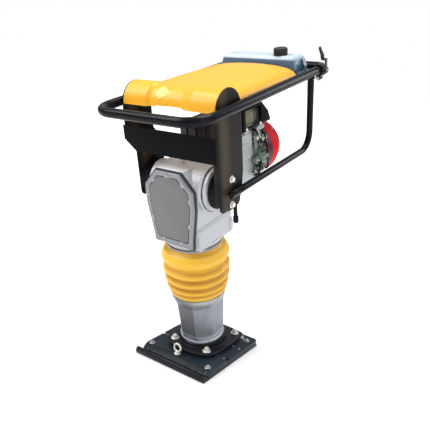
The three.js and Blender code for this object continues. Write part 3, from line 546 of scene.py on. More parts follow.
def cap_screw(x, y, z, r, h, axis="z"):
    """A round-headed screw with a hexagon socket."""
    side = 1 if h > 0 else -1
    socket = [(r * 0.5, z + h), (r * 0.46, z + h - side * abs(h) * 0.6)]
    return revolve([(r * 0.94, z), (r, z + side * 0.4), (r, z + h - side * 0.8), (r * 0.88, z + h)] + socket,
                   axis, (x, y), 30)


def nut_and_stud(x, y, base, r, h, tip, axis="z", washer_r=None):
    return merge(washer(x, y, base, washer_r or r + 4, 2.5, axis), hex_nut(x, y, base + 2.2, r, h, axis),
                 thread(x, y, base + 2, base + 2.2 + h + tip, r * 0.55, axis))


def smooth_curve(points, steps=6, closed=False):
    """A Catmull-Rom curve through the points."""
    pts = [Vector(p) for p in points]
    n = len(pts)
    out = []
    for i in range(n if closed else n - 1):
        p0 = pts[(i - 1) % n] if closed or i else pts[0]
        p1, p2 = pts[i], pts[(i + 1) % n]
        p3 = pts[(i + 2) % n] if closed or i + 2 < n else pts[-1]
        for k in range(steps):
            t = k / steps
            out.append(0.5 * ((2 * p1) + (p2 - p0) * t + (2 * p0 - 5 * p1 + 4 * p2 - p3) * t * t
                              + (3 * p1 - p0 - 3 * p2 + p3) * t ** 3))
    if not closed:
        out.append(pts[-1])
    return out


def taken(*names):
    """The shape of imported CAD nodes, back in the machine's leaning frame and in millimetres."""
    back = LEAN.inverted()
    shapes = []
    for name in names:
        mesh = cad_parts[name].data
        points = [tuple(back @ (v.co / MM)) for v in mesh.vertices]
        shapes.append((points, [tuple(p.vertices) for p in mesh.polygons]))
    return merge(*shapes)


# ------------------------------------------------------------------ meshes and pieces

def mesh_from(shape):
    """A clean mesh from points and faces; a mesh comes back as it is."""
    if isinstance(shape, bpy.types.Mesh):
        return shape
    points, faces = shape
    mesh = bpy.data.meshes.new("shape")
    mesh.from_pydata([tuple(p) for p in points], [], faces)
    work = bmesh.new()
    work.from_mesh(mesh)
    bmesh.ops.remove_doubles(work, verts=work.verts, dist=1e-4)
    bmesh.ops.recalc_face_normals(work, faces=work.faces)
    work.to_mesh(mesh)
    work.free()
    return mesh


def applied(mesh, *modifiers):
    """The mesh after modifiers given as (kind, {property: value}), made in a throwaway object."""
    obj = shown("maker", mesh)
    for kind, values in modifiers:
        modifier = obj.modifiers.new(kind, kind)
        for key, value in values.items():
            setattr(modifier, key, value)
    graph = bpy.context.evaluated_depsgraph_get()
    result = bpy.data.meshes.new_from_object(obj.evaluated_get(graph))
    bpy.data.objects.remove(obj)
    return result


def fused(shape, voxel, smooth):
    """Melts overlapping solids into one skin with soft inner corners, as a casting has."""
    return applied(mesh_from(shape), ("REMESH", {"mode": "VOXEL", "voxel_size": voxel, "adaptivity": 0.0}),
                   ("SMOOTH", {"factor": 0.5, "iterations": smooth}))


def carved(shape, *tools):
    """Cuts tools from a shape."""
    mesh = mesh_from(shape)
    for tool in tools:
        cutter = shown("cutter", mesh_from(tool))
        mesh = applied(mesh, ("BOOLEAN", {"operation": "DIFFERENCE", "solver": "EXACT", "object": cutter}))
        bpy.data.objects.remove(cutter)
    return mesh


def build(name, shape, look, body, replaces=(), bevel=0.0, segments=2, crease=35, lean=LEAN):
    """Makes a piece in the row frame from a shape or mesh in millimetres, and puts it on a body."""
    mesh = mesh_from(shape)
    mesh.name = name
    if bevel:
        mesh = applied(mesh, ("BEVEL", {"width": bevel, "segments": segments, "limit_method": "ANGLE",
                                        "angle_limit": math.radians(28), "miter_outer": "MITER_ARC"}))
    mesh.transform(Matrix.Scale(MM, 4) @ lean)
    mesh.update()
    mesh.materials.clear()
    mesh.materials.append(LOOKS[look])
    mesh.shade_smooth()
    mesh.set_sharp_from_angle(angle=math.radians(crease))
    obj = shown(name, mesh)
    if body:
        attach(obj, body)
    if replaces:
        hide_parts(*replaces)
    return obj


# ------------------------------------------------------------------ foot

def shoe():
    """The pressed steel sole with its rolled front lip, and the laminated block on it."""
    lip = smooth_curve([(-132, 10, 0), (-141, 11.5, 0), (-147, 15, 0), (-151, 21, 0), (-156, 24.6, 0),
                        (-161.5, 23, 0), (-164.8, 17, 0), (-165, 8, 0), (-162, 1.6, 0), (-156, 0, 0)], 5)
    side = [(165, 1), (165, 9), (164, 10)] + [(p.x, p.y) for p in lip] + [(164, 0)]
    roll = [(p.x, p.y) for p in lip if p.x < -144] + [(-150, 0.4)]
    build("shoe_sole_pressing", merge(prism(side, -144, 144, "x"), prism(roll, -150, -143, "x")),
          "shoe_steel",
          "foot", ["shoe_sole"], bevel=1.2, lean=UPRIGHT)
    strip = [(-139.6, 17.4), (-126.6, 26.9), (-122.5, 28.2), (-115, 28.2), (-115, 29.2), (-123, 29.3),
             (-127.4, 28.0), (-140.2, 18.6)]
    build("shoe_front_strip", prism(strip, -136, 128, "x"), "strip_steel", "foot", bevel=0.4, lean=UPRIGHT)

    half, back, slope_from, slope = 144, 165, 17, 1.58

    def ring(z, inset):
        front = -140.3 + max(0, z - slope_from) * slope
        x, y0, y1 = half - inset, front + inset * 0.6, back - inset
        plan = arc(x - 9, y1 - 9, 9, 0, 90, 6) + arc(9 - x, y1 - 9, 9, 90, 180, 6)
        plan += arc(12 - x, y0 + 12, 12, 180, 270, 6) + arc(x - 12, y0 + 12, 12, 270, 360, 6)
        return [(px, py, z) for px, py in plan]

    levels = [(10.3, 0.6), (11, 0), (15, 0), (17, 0), (19.5, 0), (22, 0), (24.5, 0), (26.2, 0.4),
              (27.3, 1.3),
              (28, 3.2)]
    body = loft([ring(z, inset) for z, inset in levels])
    tools = []
    for sign in (1, -1):
        notch = sorted((sign * 134, sign * 134 * 1.12))
        tools += [revolve([(8, 21), (8, 30)], centre=(sign * 126, -24), steps=28),
                  block(*notch, -32, -16, 21, 30)]
    build("shoe_laminate", carved(body, *tools), "laminate", "foot", ["shoe_core"], bevel=0.7, lean=UPRIGHT)
    build("shoe_groove", prism([(-131, 12.5), (-131, 14.5), (-126, 14.5), (-126, 12.5)], -138, 138, "x"),
          "black_rubber", "foot", lean=UPRIGHT)
    dowels = []
    for sign in (1, -1):
        dowels.append(cap_screw(sign * 126, -24, 21, 5.5, 5))
        dowels.append(cap_screw(sign * 107, 62, 28, 4.5, 1.6))
        dowels.append(cap_screw(sign * 134, 60, 28, 4.5, 1.6))
    build("shoe_small_bolts", merge(*dowels), "steel", "foot", lean=UPRIGHT)


def foot_casting():
    """The bolted flange and leaning collar, with a raised rim round the flange's edge."""
    plan = [(-98, -41), (-59, -82), (0, -90), (59, -82), (98, -41), (98, 111), (73, 148), (-73, 148),
            (-98, 111)]
    loop = smooth_curve([(x, y, 40.6) for x, y in plan], 6, closed=True)
    to_lean = LEAN.inverted()
    rim = [to_lean @ p for p in straightened([*loop, loop[0]], 8)][:-1]
    shape = merge(taken("foot_flange"), sweep(rim, 3.0, 8, closed=True))
    build("foot_casting", fused(shape, 2.0, 5), "shoe_steel", "foot", ["foot_flange"], crease=180)
    for side, sign in (("left", 1), ("right", -1)):
        for end, y in (("front", -50), ("back", 125)):
            build(f"flange_stud_{end}_{side}", nut_and_stud(sign * 70, y, 42.3, 10, 9, 5, washer_r=15),
                  "zinc",
                  "foot", [f"flange_nut_{end}_{side}"], lean=UPRIGHT)
        for end, y in (("front", -112), ("back", 126)):
            build(f"shoe_stud_{end}_{side}", nut_and_stud(sign * 122, y, 28.3, 7, 5, 2, washer_r=11.5),
                  "steel",
                  "foot", [f"shoe_bolt_{end}_{side}"], lean=UPRIGHT)
    inner = [nut_and_stud(x, 134, 28.3, 6, 5, 2, washer_r=9) for x in (96, -96)]
    build("shoe_inner_nuts", merge(*inner), "zinc", "foot", lean=UPRIGHT)


def lifting_eye():
    """A ring that swells towards its foot, on a collar and a washer."""
    x, y, base = -8, -112, 28.3
    ring = []
    for i in range(48):
        a = 2 * math.pi * i / 48
        swell = 3.5 + 0.9 * max(0.0, -math.sin(a))
        ring.append([(x + (14 + swell * math.cos(b)) * math.cos(a), y + swell * math.sin(b),
                      base + 24 + (14 + swell * math.cos(b)) * math.sin(a))
                     for b in (2 * math.pi * k / 16 for k in range(16))])
    shape = merge(loft(ring, closed=True), washer(x, y, base, 11.5, 5, edge=1.2),
                  revolve([(7.5, base + 4.6), (5.6, base + 6.5), (6.4, base + 11.5)], centre=(x, y),
                          steps=28))
    build("lifting_eye", shape, "zinc", "foot", ["eye_bolt"], crease=50, lean=UPRIGHT)


# ------------------------------------------------------------------ leg and bellows

def leg():
    """One casting that changes from a round foot ring to eight flats, and flares into a round head."""
    def octagon(a, limit, z):
        start, end = 79, 240
        share = min(1.0, max(0.0, (z - start) / 4)) * min(1.0, max(0.0, (end - z) / 22))
        flat = limit * math.cos(math.pi / 8) / math.cos(((a + math.pi / 8) % (math.pi / 4)) - math.pi / 8)
        return limit + (min(flat, limit * 0.998) - limit) * share

    sleeve = [(69, 72), (73.5, 72.4), (75.7, 74.5), (76, 77), (76, 91), (75.4, 93.6), (73.2, 96), (73.6, 99),
              (78.2, 103), (78.6, 106)]
    sleeve += [(78.6 + 7.0 * i / 12, 106 + 108 * i / 12) for i in range(1, 13)]
    sleeve += [(86.2, 220), (87.4, 226), (89.6, 233), (91.6, 239), (92.8, 245), (93, 252), (92, 254.4),
               (88.4, 255),
               (88, 256), (88, 268), (67, 268.4), (66, 270), (66, 374), (65, 375), (56, 375), (56, 100)]
    build("leg_casting", revolve(sleeve, steps=192, shape=octagon), "leg_metal", "foot", ["leg_cylinder"],
          crease=20)
    ring = [(74, 72.6), (76.2, 73.2), (77.0, 75), (77.0, 80), (76.4, 82), (74, 82.4)]
    build("leg_lower_ring", revolve(ring + [(74.2, 72.8)], steps=128), "ring_metal", "foot")


def springs():
    """The coil springs in the leg; the upper one is built as two pieces."""
    def coil(low, high, turns):
        per_turn = 28
        count = int(turns * per_turn)
        return sweep([(42 * math.cos(2 * math.pi * i / per_turn), 42 * math.sin(2 * math.pi * i / per_turn),
                       low + (high - low) * i / count) for i in range(count + 1)], 5.4, 12)

    split = 207 + 148 * 4 / 6
    lower = build("spring_lower_coil", coil(99, 169, 4), "steel", None, ["spring_lower"])
    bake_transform(lower)
    middle = build("spring_upper_coil", coil(207, split, 4), "steel", None, ["spring_upper"])
    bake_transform(middle)
    top = build("spring_upper_coil_end", coil(split, 355, 2), "steel", None)
    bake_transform(top)


def bellows():
    """A moulded rubber gaiter: round crests, tight valleys, and plain cuffs under the clamps."""
    crests = [(402, 113.6), (354, 112.6), (321, 109.8), (290, 105.0), (268, 98.6)]
    valleys = [(424.5, 104.5), (371, 100.5), (338, 99.4), (305, 96.6), (278.5, 94.8), (257, 92.7)]
    outer = [(89.4, 443), (89.8, 440), (91, 436), (94, 431), (100, 427)]
    for i, (z, r) in enumerate(crests):
        (top, r_top), (low, r_low) = valleys[i], valleys[i + 1]
        for k in range(17):
            t = -1 + 2 * k / 16
            valley_z, valley_r = (top, r_top) if t < 0 else (low, r_low)
            height = z + (valley_z - z) * abs(t)
            outer.append((valley_r + (r - valley_r) * (0.5 + 0.5 * math.cos(math.pi * t)) ** 0.72, height))
    inner = [(r - 4, z) for r, z in reversed(outer)]
    piece = build("bellows_gaiter", revolve(outer + inner, steps=112, closed=True), "yellow_rubber", None,
                  ["bellows"], crease=60)
    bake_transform(piece)
    for name, r, z, body in (("upper", 90.3, 438, "upper"), ("lower", 92.7, 259, "foot")):
        band = revolve([(r, z), (r + 1.1, z), (r + 1.5, z + 0.7), (r + 1.5, z + 6.3), (r + 1.1, z + 7),
                        (r, z + 7)],
                       steps=112, closed=True)
        housing = rounded_box(r + 1.4, r + 7.5, -9, 9, z - 1, z + 8, 2, "y")
        screw = hex_nut(r + 4.6, z + 3.5, 9, 4, 5, "y")
        shape = merge(band, moved(merge(housing, screw), Matrix.Rotation(math.radians(152), 4, "Z")))
        build(f"bellows_band_{name}", shape, "band_metal", body, [f"bellows_clamp_{name}"], bevel=0.3)
    neck = [(67, 322.2), (75.5, 322.2), (76, 323), (76, 432), (84, 432.2), (85, 433.4), (85, 451),
            (87, 453.4),
            (94, 454.4), (95, 455.4), (95, 465), (94.4, 465.6), (67, 465.6)]
    build("guide_sleeve", revolve(neck, steps=96, closed=True), "case_paint", "upper", ["guide_cylinder"])


# ------------------------------------------------------------------ crankcase

COVER_SCREWS = ((0, 702), (60, 681), (-60, 681), (85, 630), (-85, 630), (76, 548), (-76, 548), (37, 481),
                (-37, 481))


def crankcase():
    """The gearbox casting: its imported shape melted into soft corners, with ribs and screw bosses."""
    extra = []
    for sign in (1, -1):
        line = [(sign * 52, -60, 712), (sign * 72, -60, 690), (sign * 96, -60, 663)]
        extra.append(sweep(straightened([(x, y + 16, z) for x, y, z in line], 6), 5, 10))
        extra.append(prism([(sign * 79, 470), (sign * 99, 470), (sign * 99, 500), (sign * 84, 536)], 70, 86,
                           "y"))
        for y in (-62, 62):
            extra.append(revolve([(9, 466), (9, 488), (7, 492)], centre=(sign * 84, y), steps=24))
    lip = carved(block(-93, 93, -86, 88, 459, 470), revolve([(96.5, 450), (96.5, 480)], steps=96))
    lip = ([tuple(v.co) for v in lip.vertices], [tuple(p.vertices) for p in lip.polygons])
    extra.append(block(-76, 76, -10, 70, 696, 715.5))
    extra.append(revolve([(50, 103), (73, 103), (74.5, 104.5), (74.5, 110.5), (73, 112), (50, 112)], "x",
                         ROCK, 96))
    shape = merge(taken("crankcase"), lip, *extra)
    build("gearbox_casting", fused(shape, 2.0, 5), "case_paint", "upper", ["crankcase"], crease=180)
    face = revolve([(59.6, 119), (64.6, 119), (66.0, 120.2), (66.0, 126), (64.8, 127.1), (59.6, 127.1)], "x",
                   ROCK,
                   96, closed=True)
    build("boss_ring_left", face, "machined", "upper")
    seal = revolve([(60, 112.6), (70.9, 112.6), (71.4, 113.2), (71.4, 115.6), (60, 115.6)], "x", ROCK, 96,
                   closed=True)
    build("boss_seal_left", seal, "gasket", "upper")
    bolts = [merge(washer(sign * 84, y, 488, 7, -1.5), cap_screw(sign * 84, y, 492, 5.5, 5))
             for sign in (1, -1) for y in (-62, 62)]
    build("gearbox_bolts", merge(*bolts), "steel", "upper")
    plug = merge(washer(-4, -24, 716.3, 11, 3), hex_nut(-4, -24, 719, 8, 6.4))
    build("oil_plug", plug, "zinc", "upper", ["oil_filler_plug"])
    housing = revolve([(14, 75.3), (74, 75.3), (74, 82.4), (73.4, 83), (71.5, 84), (70, 87), (70, 149.7),
                       (64, 149.7), (64, 84), (14, 84)], "y", (0, ENGINE_Z), 72, closed=True)
    build("clutch_bell", housing, "cast_aluminium", "upper", ["clutch_housing"])
    circle = 70.6 * 0.985
    bell_bolts = [cap_screw(circle * math.cos(a), ENGINE_Z + circle * math.sin(a), 83.2, 3.4, 4, "y")
                  for a in (math.radians(60 * k + 20) for k in range(6))]
    build("clutch_bell_screws", merge(*bell_bolts), "steel", "upper")


def cover():
    """The front cover: raised rim, lobes that grow inward round its screws, and a shallow middle."""
    spots = [(x * 0.97, z) for x, z in COVER_SCREWS]
    lobes = [revolve([(9.5, -103.6), (10.5, -102.6), (10.5, -94)], "y", spot, 24) for spot in spots]
    rim = smooth_curve([(x, -101.6, z) for x,
                        z in ((0, 707), (43, 706), (88, 658), (89, 600), (73, 502), (70, 476),
                                                    (0, 475), (-70, 476), (-73, 502), (-89, 600), (-88, 658),
                                                    (-43, 706))], 1, closed=True)
    lobes.append(sweep(straightened([*rim, rim[0]], 8)[:-1], 3.4, 10, up=(0, 1, 0), closed=True))
    shape = merge(taken("crankcase_cover"), *lobes)
    build("gearbox_cover", fused(shape, 1.3, 6), "cover_rim", "upper", ["crankcase_cover"], crease=180)
    half = [(0, 695), (36, 694), (73, 654), (75, 600), (61, 508), (57, 492), (0, 491)]
    plan = half + [(-x, z) for x, z in reversed(half[1:-1])]
    for name, look, gap, notch, depth in (("cover_panel", "cover_grey", 0, 11, -103.8),
                                          ("cover_groove", "gasket", 3.2, 7.6, -103.1)):
        outline = [(x + math.copysign(gap, x) * (x != 0), z + math.copysign(gap, z - 593)) for x, z in plan]
        plate = carved(prism(outline, depth, -98, "y"),
                       *[revolve([(notch, -110), (notch, -90)], "y", spot, 28) for spot in spots])
        build(name, plate, look, "upper", bevel=0.45)
    wider = (Matrix.Translation((0, 2.2 - 95, 593)) @ Matrix.Diagonal((1.032, 0.6, 1.026, 1))
             @ Matrix.Translation((0, 94, -593)))
    build("cover_gasket", moved(taken("crankcase_cover"), wider), "gasket", "upper")
    screws = [merge(washer(x, z, -103.3, 6.2, -0.9, "y"), cap_screw(x, z, -104, 4.6, -3.4, "y"))
              for x, z in spots]
    build("cover_screws", merge(*screws), "steel", "upper")


def rubber_mounts():
    """A waisted rubber block between two bonded discs, on each side of the case."""
    for side, sign, start, end in (("left", 1, 127.3, 169.2), ("right", -1, 98.3, 133.7)):
        mid = (start + end) / 2
        profile = [(20, start), (57.5, start), (59, start + 1.2), (59, start + 4), (58, start + 5),
                   (56.5, start + 6.5), (51.5, start + 12), (50.9, mid), (51.5, end - 12),
                   (56.5, end - 6.5), (58, end - 5), (59, end - 4), (59, end - 1.2), (57.5, end), (20, end)]
        shape = revolve([(r, sign * t) for r, t in profile], "x", ROCK, 96)
        build(f"rubber_mount_{side}", shape, "black_rubber", "handle", [f"av_mount_{side}"], crease=50)


# ------------------------------------------------------------------ engine

def engine():
    """The block with its fins, plug, side cover, and a cowl that stays under the view over the front bar."""
    cowl_top = 800
    fins = [rounded_box(-66, 66, 160, 292, z, z + 2.6, 8, "z") for z in (742.5, 751.5, 760.5)]
    ribs = [prism([(x - 2, 580), (x + 2, 580), (x + 2, 728), (x - 2, 728)], 151, 299, "y")
            for x in (-80, 80)]
    shape = merge(taken("engine_block"), *fins, *ribs,
                  revolve([(30, 150.5), (30, 158), (26, 160)], "y", (0, ENGINE_Z), 40))
    build("engine_casting", fused(shape, 1.9, 3), "cast_aluminium", "upper", ["engine_block"], crease=180)
    plug = merge(hex_nut(0, 226, 772, 9, 8), revolve([(8, 779), (6, 783), (6.5, 786), (5.5, 792), (6, 794),
                                                      (4, 800)],
                                                      centre=(0, 226), steps=24))
    build("spark_plug", plug, "zinc", "upper")
    boot = sweep([(0, 226, 790), (0, 226, 806), (0, 232, 814), (0, 246, 818), (0, 262, 818)],
                 lambda s: 8.5 - 3.5 * s, 16, up=(1, 0, 0))
    build("spark_plug_boot", boot, "black_rubber", "upper")

    side = merge(rounded_box(81, 90, 134, 231, 668, 764, 14, "x"),
                 rounded_box(88, 94, 142, 223, 676, 756, 16, "x"),
                 revolve([(16, 88), (16, 96), (13, 98)], "x", (178, 716), 40))
    build("engine_side_cover", fused(side, 1.3, 6), "cast_aluminium", "upper", crease=180)
    build("engine_side_gasket", rounded_box(79, 83.5, 129.5, 235.5, 663.5, 768.5, 15, "x"), "gasket",
          "upper",
          bevel=0.5)
    deck = merge(rounded_box(72, 97, 250, 299, 752, 768, 6, "x"),
                 rounded_box(80, 101, 244, 262, 738, 756, 6, "x"))
    build("engine_deck", fused(deck, 1.3, 4), "cast_aluminium", "upper", crease=180)
    spots = ((142, 676), (223, 676), (142, 756), (223, 756), (182, 760))
    build("engine_side_screws", merge(*[cap_screw(y, z, 89.5, 4, 4.5, "x") for y, z in spots]), "steel",
          "upper")

    plate = merge(rounded_box(-126, 100, 126, 130, 735, cowl_top, 10, "y"),
                  *[rounded_box(x - 3, x + 3, 122.5, 127, 742, cowl_top - 8, 2, "y")
                    for x in (-98, -60, -22, 16, 54)])
    build("cylinder_cowl", plate, "maroon_paint", "upper", bevel=0.8)
    head = [(6.5, 126), (6.5, 124.6), (5, 124.4), (5, 120.6), (4, 119.8)]
    heads = [revolve(head, "y", spot, 24) for spot in ((-79, 806), (-41, 808), (-3, 806), (35, 800),
                                                       (74, 790))]
    build("cowl_screws", merge(*heads), "zinc", "upper")


def exhaust():
    """The silencer with its guard, its ribbed heat shield and the lining behind."""
    can = [(26, 230), (31, 230), (32, 229), (32, 222), (33, 220), (32, 218), (32, 158), (33, 156), (32, 154),
           (32, 148), (30, 146), (10, 145)]
    port = block(59, 79, 186, 214, 776, 797)
    build("silencer", merge(revolve(can, "y", (80, 822), 56), port), "heated_steel", "upper", ["muffler"],
          bevel=0.8)
    build("silencer_guard", taken("muffler_guard"), "black_steel", "upper", ["muffler_guard"], bevel=1.1,
          segments=3)
    shield = merge(rounded_box(113.6, 115, 142, 203, 797, 833, 4, "x"),
                   *[rounded_box(114.6, 116.2, 148, 197, z, z + 3, 1.4, "x") for z in (804, 813, 822)])
    build("heat_shield", shield, "heated_steel", "upper", bevel=0.4)
    build("guard_lining", rounded_box(110, 112, 203, 262, 789, 836, 4, "x"), "olive_paint", "upper",
          bevel=0.5)
    bolts = [merge(washer(y, z, 124, 5.2, 0.4, "x"), hex_nut(y, z, 124.2, 4.2, 0.3, "x", dome=0.4))
             for y, z in ((150, 788), (232, 788))]
    build("guard_screws", merge(*bolts), "zinc", "upper")


def air_filter():
    """The ribbed filter box and its grip knob."""
    ribs = [rounded_box(-128.2, -126.4, y, y + 3, 716, 784, 1.2, "x") for y in range(158, 270, 14)]
    shape = merge(taken("air_cleaner"), *ribs,
                  revolve([(14, 140.5), (14, 138.8), (12, 138.2)], "y", (-96, 766), 40))
    build("air_filter_box", fused(shape, 1.5, 4), "black_plastic", "upper", ["air_cleaner"], crease=180)
    knob = revolve([(4, 284), (4, 287), (11, 287.6), (12, 289), (12, 293), (10.5, 294.6)], "y", (-96, 766),
                   36,
                   shape=lambda a, r, t: r * (1 + (0.09 * math.cos(6 * a) if t > 287 else 0)))
    build("air_filter_knob", knob, "black_plastic", "upper", bevel=0.4)


def fuel_system():
    """The carburettor with its levers, rods, hoses and screws, and the cast ledges behind it."""
    extra = merge(revolve([(19.4, 650), (19.4, 653), (18, 653.2)], centre=(104, 274), steps=36),
                  revolve([(20, 96), (20, 100), (18, 101)], "x", (274, 676), 40),
                  revolve([(5, 100), (5, 118), (3, 119)], "x", (262, 668), 20))
    shape = merge(taken("carburettor"), extra)
    build("carburettor_body", fused(shape, 1.3, 4), "engine_grime", "upper", ["carburettor"], crease=180)
    for body, lever in (("choke", "choke_lever"), ("tap", "fuel_tap_lever")):
        build(f"{body}_arm", taken(lever), "black_plastic", body, [lever], bevel=0.7, segments=3)
    links = [sweep(bent([(99, 236, 742), (99, 252, 728, 5), (99, 256, 700, 5), (99, 268, 694)], 6), 1.4, 10),
             sweep(bent([(104, 240, 716), (104, 262, 716, 5), (104, 262, 700)], 6), 1.2, 10),
             sweep(bent([(96, 232, 640), (102, 246, 634, 8), (104, 262, 640, 8), (104, 270, 648)], 6), 2.6,
                   12)]
    build("engine_linkage", merge(*links), "black_steel", "upper")
    plate = merge(rounded_box(96, 98.4, 232, 264, 696, 748, 5, "x"),
                  rounded_box(82, 98, 244, 256, 700, 712, 3, "x"))
    build("governor_plate", plate, "engine_grime", "upper", bevel=0.5)
    hoses = [bent([(86, 240, 600), (104, 244, 606, 8), (108, 250, 640, 10), (104, 262, 652)], 8),
             bent([(90, 296, 610), (112, 290, 616, 10), (116, 284, 660, 12), (112, 286, 700, 10),
                   (92, 292, 716)], 8),
             bent([(88, 236, 764), (104, 240, 756, 8), (108, 250, 724, 8), (106, 268, 712)], 8),
             bent([(92, 288, 744), (108, 284, 736, 8), (110, 280, 704)], 8)]
    build("engine_hoses", merge(*[sweep(path, r, 14) for path, r in zip(hoses, (3.2, 3.6, 2.6, 3.0))]),
          "black_rubber", "upper")
    ledges = [rounded_box(82, 96, 238, 298, z, z + 3, 1.2, "x") for z in (606, 622, 722, 738)]
    ledges += [rounded_box(82, 92, y, y + 3, 606, 640, 1.2, "x") for y in (246, 262, 278, 292)]
    ledges += [rounded_box(90, 106, 266, 296, 712, 736, 6, "x"),
               rounded_box(84, 100, 236, 262, 640, 668, 8, "x")]
    build("engine_flank", fused(merge(*ledges), 1.2, 3), "engine_grime", "upper", crease=180)
    caps = [merge(washer(y, z, x, r + 1.6, 1, "x"), cap_screw(y, z, x + 0.8, r, 3.6, "x"))
            for x, y, z, r in ((96, 246, 728, 3.6), (96, 258, 706, 3.2), (106, 274, 724, 3.6),
                               (106, 288, 724, 3.6),
                               (100, 249, 654, 3.6), (92, 242, 614, 3.2), (96, 292, 612, 3.2),
                               (90, 291, 676, 3.4))]
    build("engine_flank_screws", merge(*caps), "zinc", "upper")
    dial = merge(revolve([(9, 98.6), (10.5, 99.2), (10.5, 105), (9, 106.4), (3, 106.8)], "x", (248, 734),
                         36),
                 rounded_box(106.4, 108, 239, 257, 731.6, 736.4, 1, "x"))
    build("governor_knob", dial, "zinc", "upper", bevel=0.3)


def starter():
    """The fan housing, the slotted starter cover, its pulley, rope and grip, and the stop switch."""
    drum = [(92, 306), (97, 300.4), (98, 301.5), (98, 351), (97, 352), (92, 352)]
    # The fan housing's very dark red is its red with painted shade in it.
    build("fan_housing", merge(revolve(drum, "y", (0, ENGINE_Z), 96),
                               revolve([(20, 300.3), (92.4, 300.3), (92.4, 306), (20, 306)], "y",
                                       (0, ENGINE_Z), 96,
                                       closed=True)),
          "fan_red_painted_shade", "upper", ["fan_shroud"])
    profile = [(98, 352.4), (98, 384), (97, 388), (94, 393), (90, 400), (84, 424), (82, 426), (70, 426.6),
               (44, 426.8),
               (40, 424.5), (20, 424), (3, 423.8)]
    fine = []
    for (r0, y0), (r1, y1) in zip(profile, profile[1:]):
        steps = max(1, round(math.hypot(r1 - r0, y1 - y0) / 5))
        fine += [(r0 + (r1 - r0) * k / steps, y0 + (y1 - y0) * k / steps) for k in range(steps)]
    fine.append(profile[-1])
    steps = 120
    points, faces = [], []
    for r, y in fine:
        points += [(r * math.cos(2 * math.pi * i / steps), y,
                    ENGINE_Z + r * math.sin(2 * math.pi * i / steps))
                   for i in range(steps)]
    rope = Vector((-34, 700))
    for k in range(len(fine) - 1):
        r = (fine[k][0] + fine[k + 1][0]) / 2
        for i in range(steps):
            a = 2 * math.pi * (i + 0.5) / steps
            near_rope = (Vector((r * math.cos(a), ENGINE_Z + r * math.sin(a))) - rope).length < 15
            slot = i % 6 < 3 and (48 < r < 79) and not near_rope
            if slot:
                continue
            j = (i + 1) % steps
            faces.append((k * steps + i, k * steps + j, (k + 1) * steps + j, (k + 1) * steps + i))
    mesh = applied(mesh_from((points, faces)), ("SOLIDIFY", {"thickness": 2.4, "offset": -1.0}))
    build("starter_cover", mesh, "red_plastic", "upper", ["recoil_cover"], crease=30)
    ring = revolve([(6, 425.6), (10.5, 426.6), (11, 427.4), (8, 428.6), (6.2, 428.4)], "y", (-34, 700), 32,
                   closed=True)
    pulley = revolve([(64, 392), (64, 396), (58, 397), (58, 404), (64, 405), (64, 409), (4, 409)], "y",
                     (0, ENGINE_Z), 64)
    build("starter_rope_eye", ring, "black_plastic", "upper")
    build("starter_pulley", pulley, "dark_steel", "upper")
    screws = [cap_screw(91.5 * math.cos(a), ENGINE_Z + 91.5 * math.sin(a), 397, 4, 5, "y")
              for a in (math.radians(45 + 90 * k) for k in range(4))]
    build("starter_screws", merge(*screws), "steel", "upper")

    bar = sweep(straightened([(-62, 444.3, 700), (-6, 444.3, 700)], 3),
                lambda s: 7.4 - 1.6 * (2 * s - 1) ** 6
                - 0.5 * math.cos(2 * math.pi * 4 * s) * 0.5, 24, squash=lambda s: (0.9, 1.05))
    stem = revolve([(3, 428.8), (5, 429.2), (5, 434), (6.5, 438), (8, 441)], "y", (-34, 700), 24)
    build("starter_handle", merge(bar, stem), "black_plastic", "starter", ["starter_grip"])
    rope_piece = build("starter_rope", sweep([(-34, 416 + k * 1.4, 700) for k in range(11)], 2.1, 12),
                       "black_rubber",
                       None)
    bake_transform(rope_piece)
    rocker = prism([(-84, 651), (-89, 651), (-90, 657), (-87.4, 663), (-84, 663)], 191, 211, "y")
    build("stop_rocker", rocker, "red_plastic", "switch", ["stop_switch"], bevel=0.9, segments=3)


# ------------------------------------------------------------------ handle frame

def loop_z(y):
    """The height of the handle loop's centre line at y."""
    (front_y, front_z), (back_y, back_z) = LOOP_FRONT, LOOP_BACK
    return front_z + (back_z - front_z) * (y - front_y) / (back_y - front_y)


def handle_tubes():
    """The closed handle loop, and the guard rails whose flattened ends are bolted to the side plates."""
    front, back = LOOP_FRONT, LOOP_BACK
    h = LOOP_HALF
    path = bent([(0, front[0], front[1]), (h, front[0], front[1], 66), (h, back[0], back[1], 40),
                 (-h, back[0], back[1], 40), (-h, front[0], front[1], 66), (0, front[0], front[1])], 16)
    build("handle_tube", sweep(straightened(path, 30)[:-1], 14.5, 32, closed=True), "tube_paint", "handle",
          ["handle_loop"])
    for side, sign, plate in PLATE_OUTER:
        run = plate + 11.3
        path = bent([(sign * 189, 453, loop_z(453) - 13), (sign * run, 453, 652, 60),
                     (sign * run, -46, 652)], 16)
        path = straightened(path, 4)
        total = len(path) - 1
        tail = 44 / 4 / total

        def flattened(share):
            grip = min(1.0, max(0.0, (share - (1 - tail * 1.5)) / (tail * 0.7)))
            grip = grip * grip * (3 - 2 * grip)
            return 1 + 0.16 * grip, 1 - 0.22 * grip

        def rounded(share):
            rest = (1 - share) * total * 4
            return 11 * math.sqrt(max(0.06, 1 - max(0.0, 1 - rest / 7) ** 2))

        shape = sweep(path, rounded, 28, up=(1, 0, 0), squash=flattened)
        bead = revolve([(11, loop_z(453) - 20), (13.4, loop_z(453) - 17.5), (14.6, loop_z(453) - 13.5),
                        (11, loop_z(453) - 11)], centre=(sign * 189, 453), steps=36,
                       shape=lambda a, r, t: r * (1 + 0.02 * math.sin(14 * a)))
        build(f"guard_rail_{side}", merge(shape, bead), "tube_paint", "handle", [f"guard_tube_{side}"])


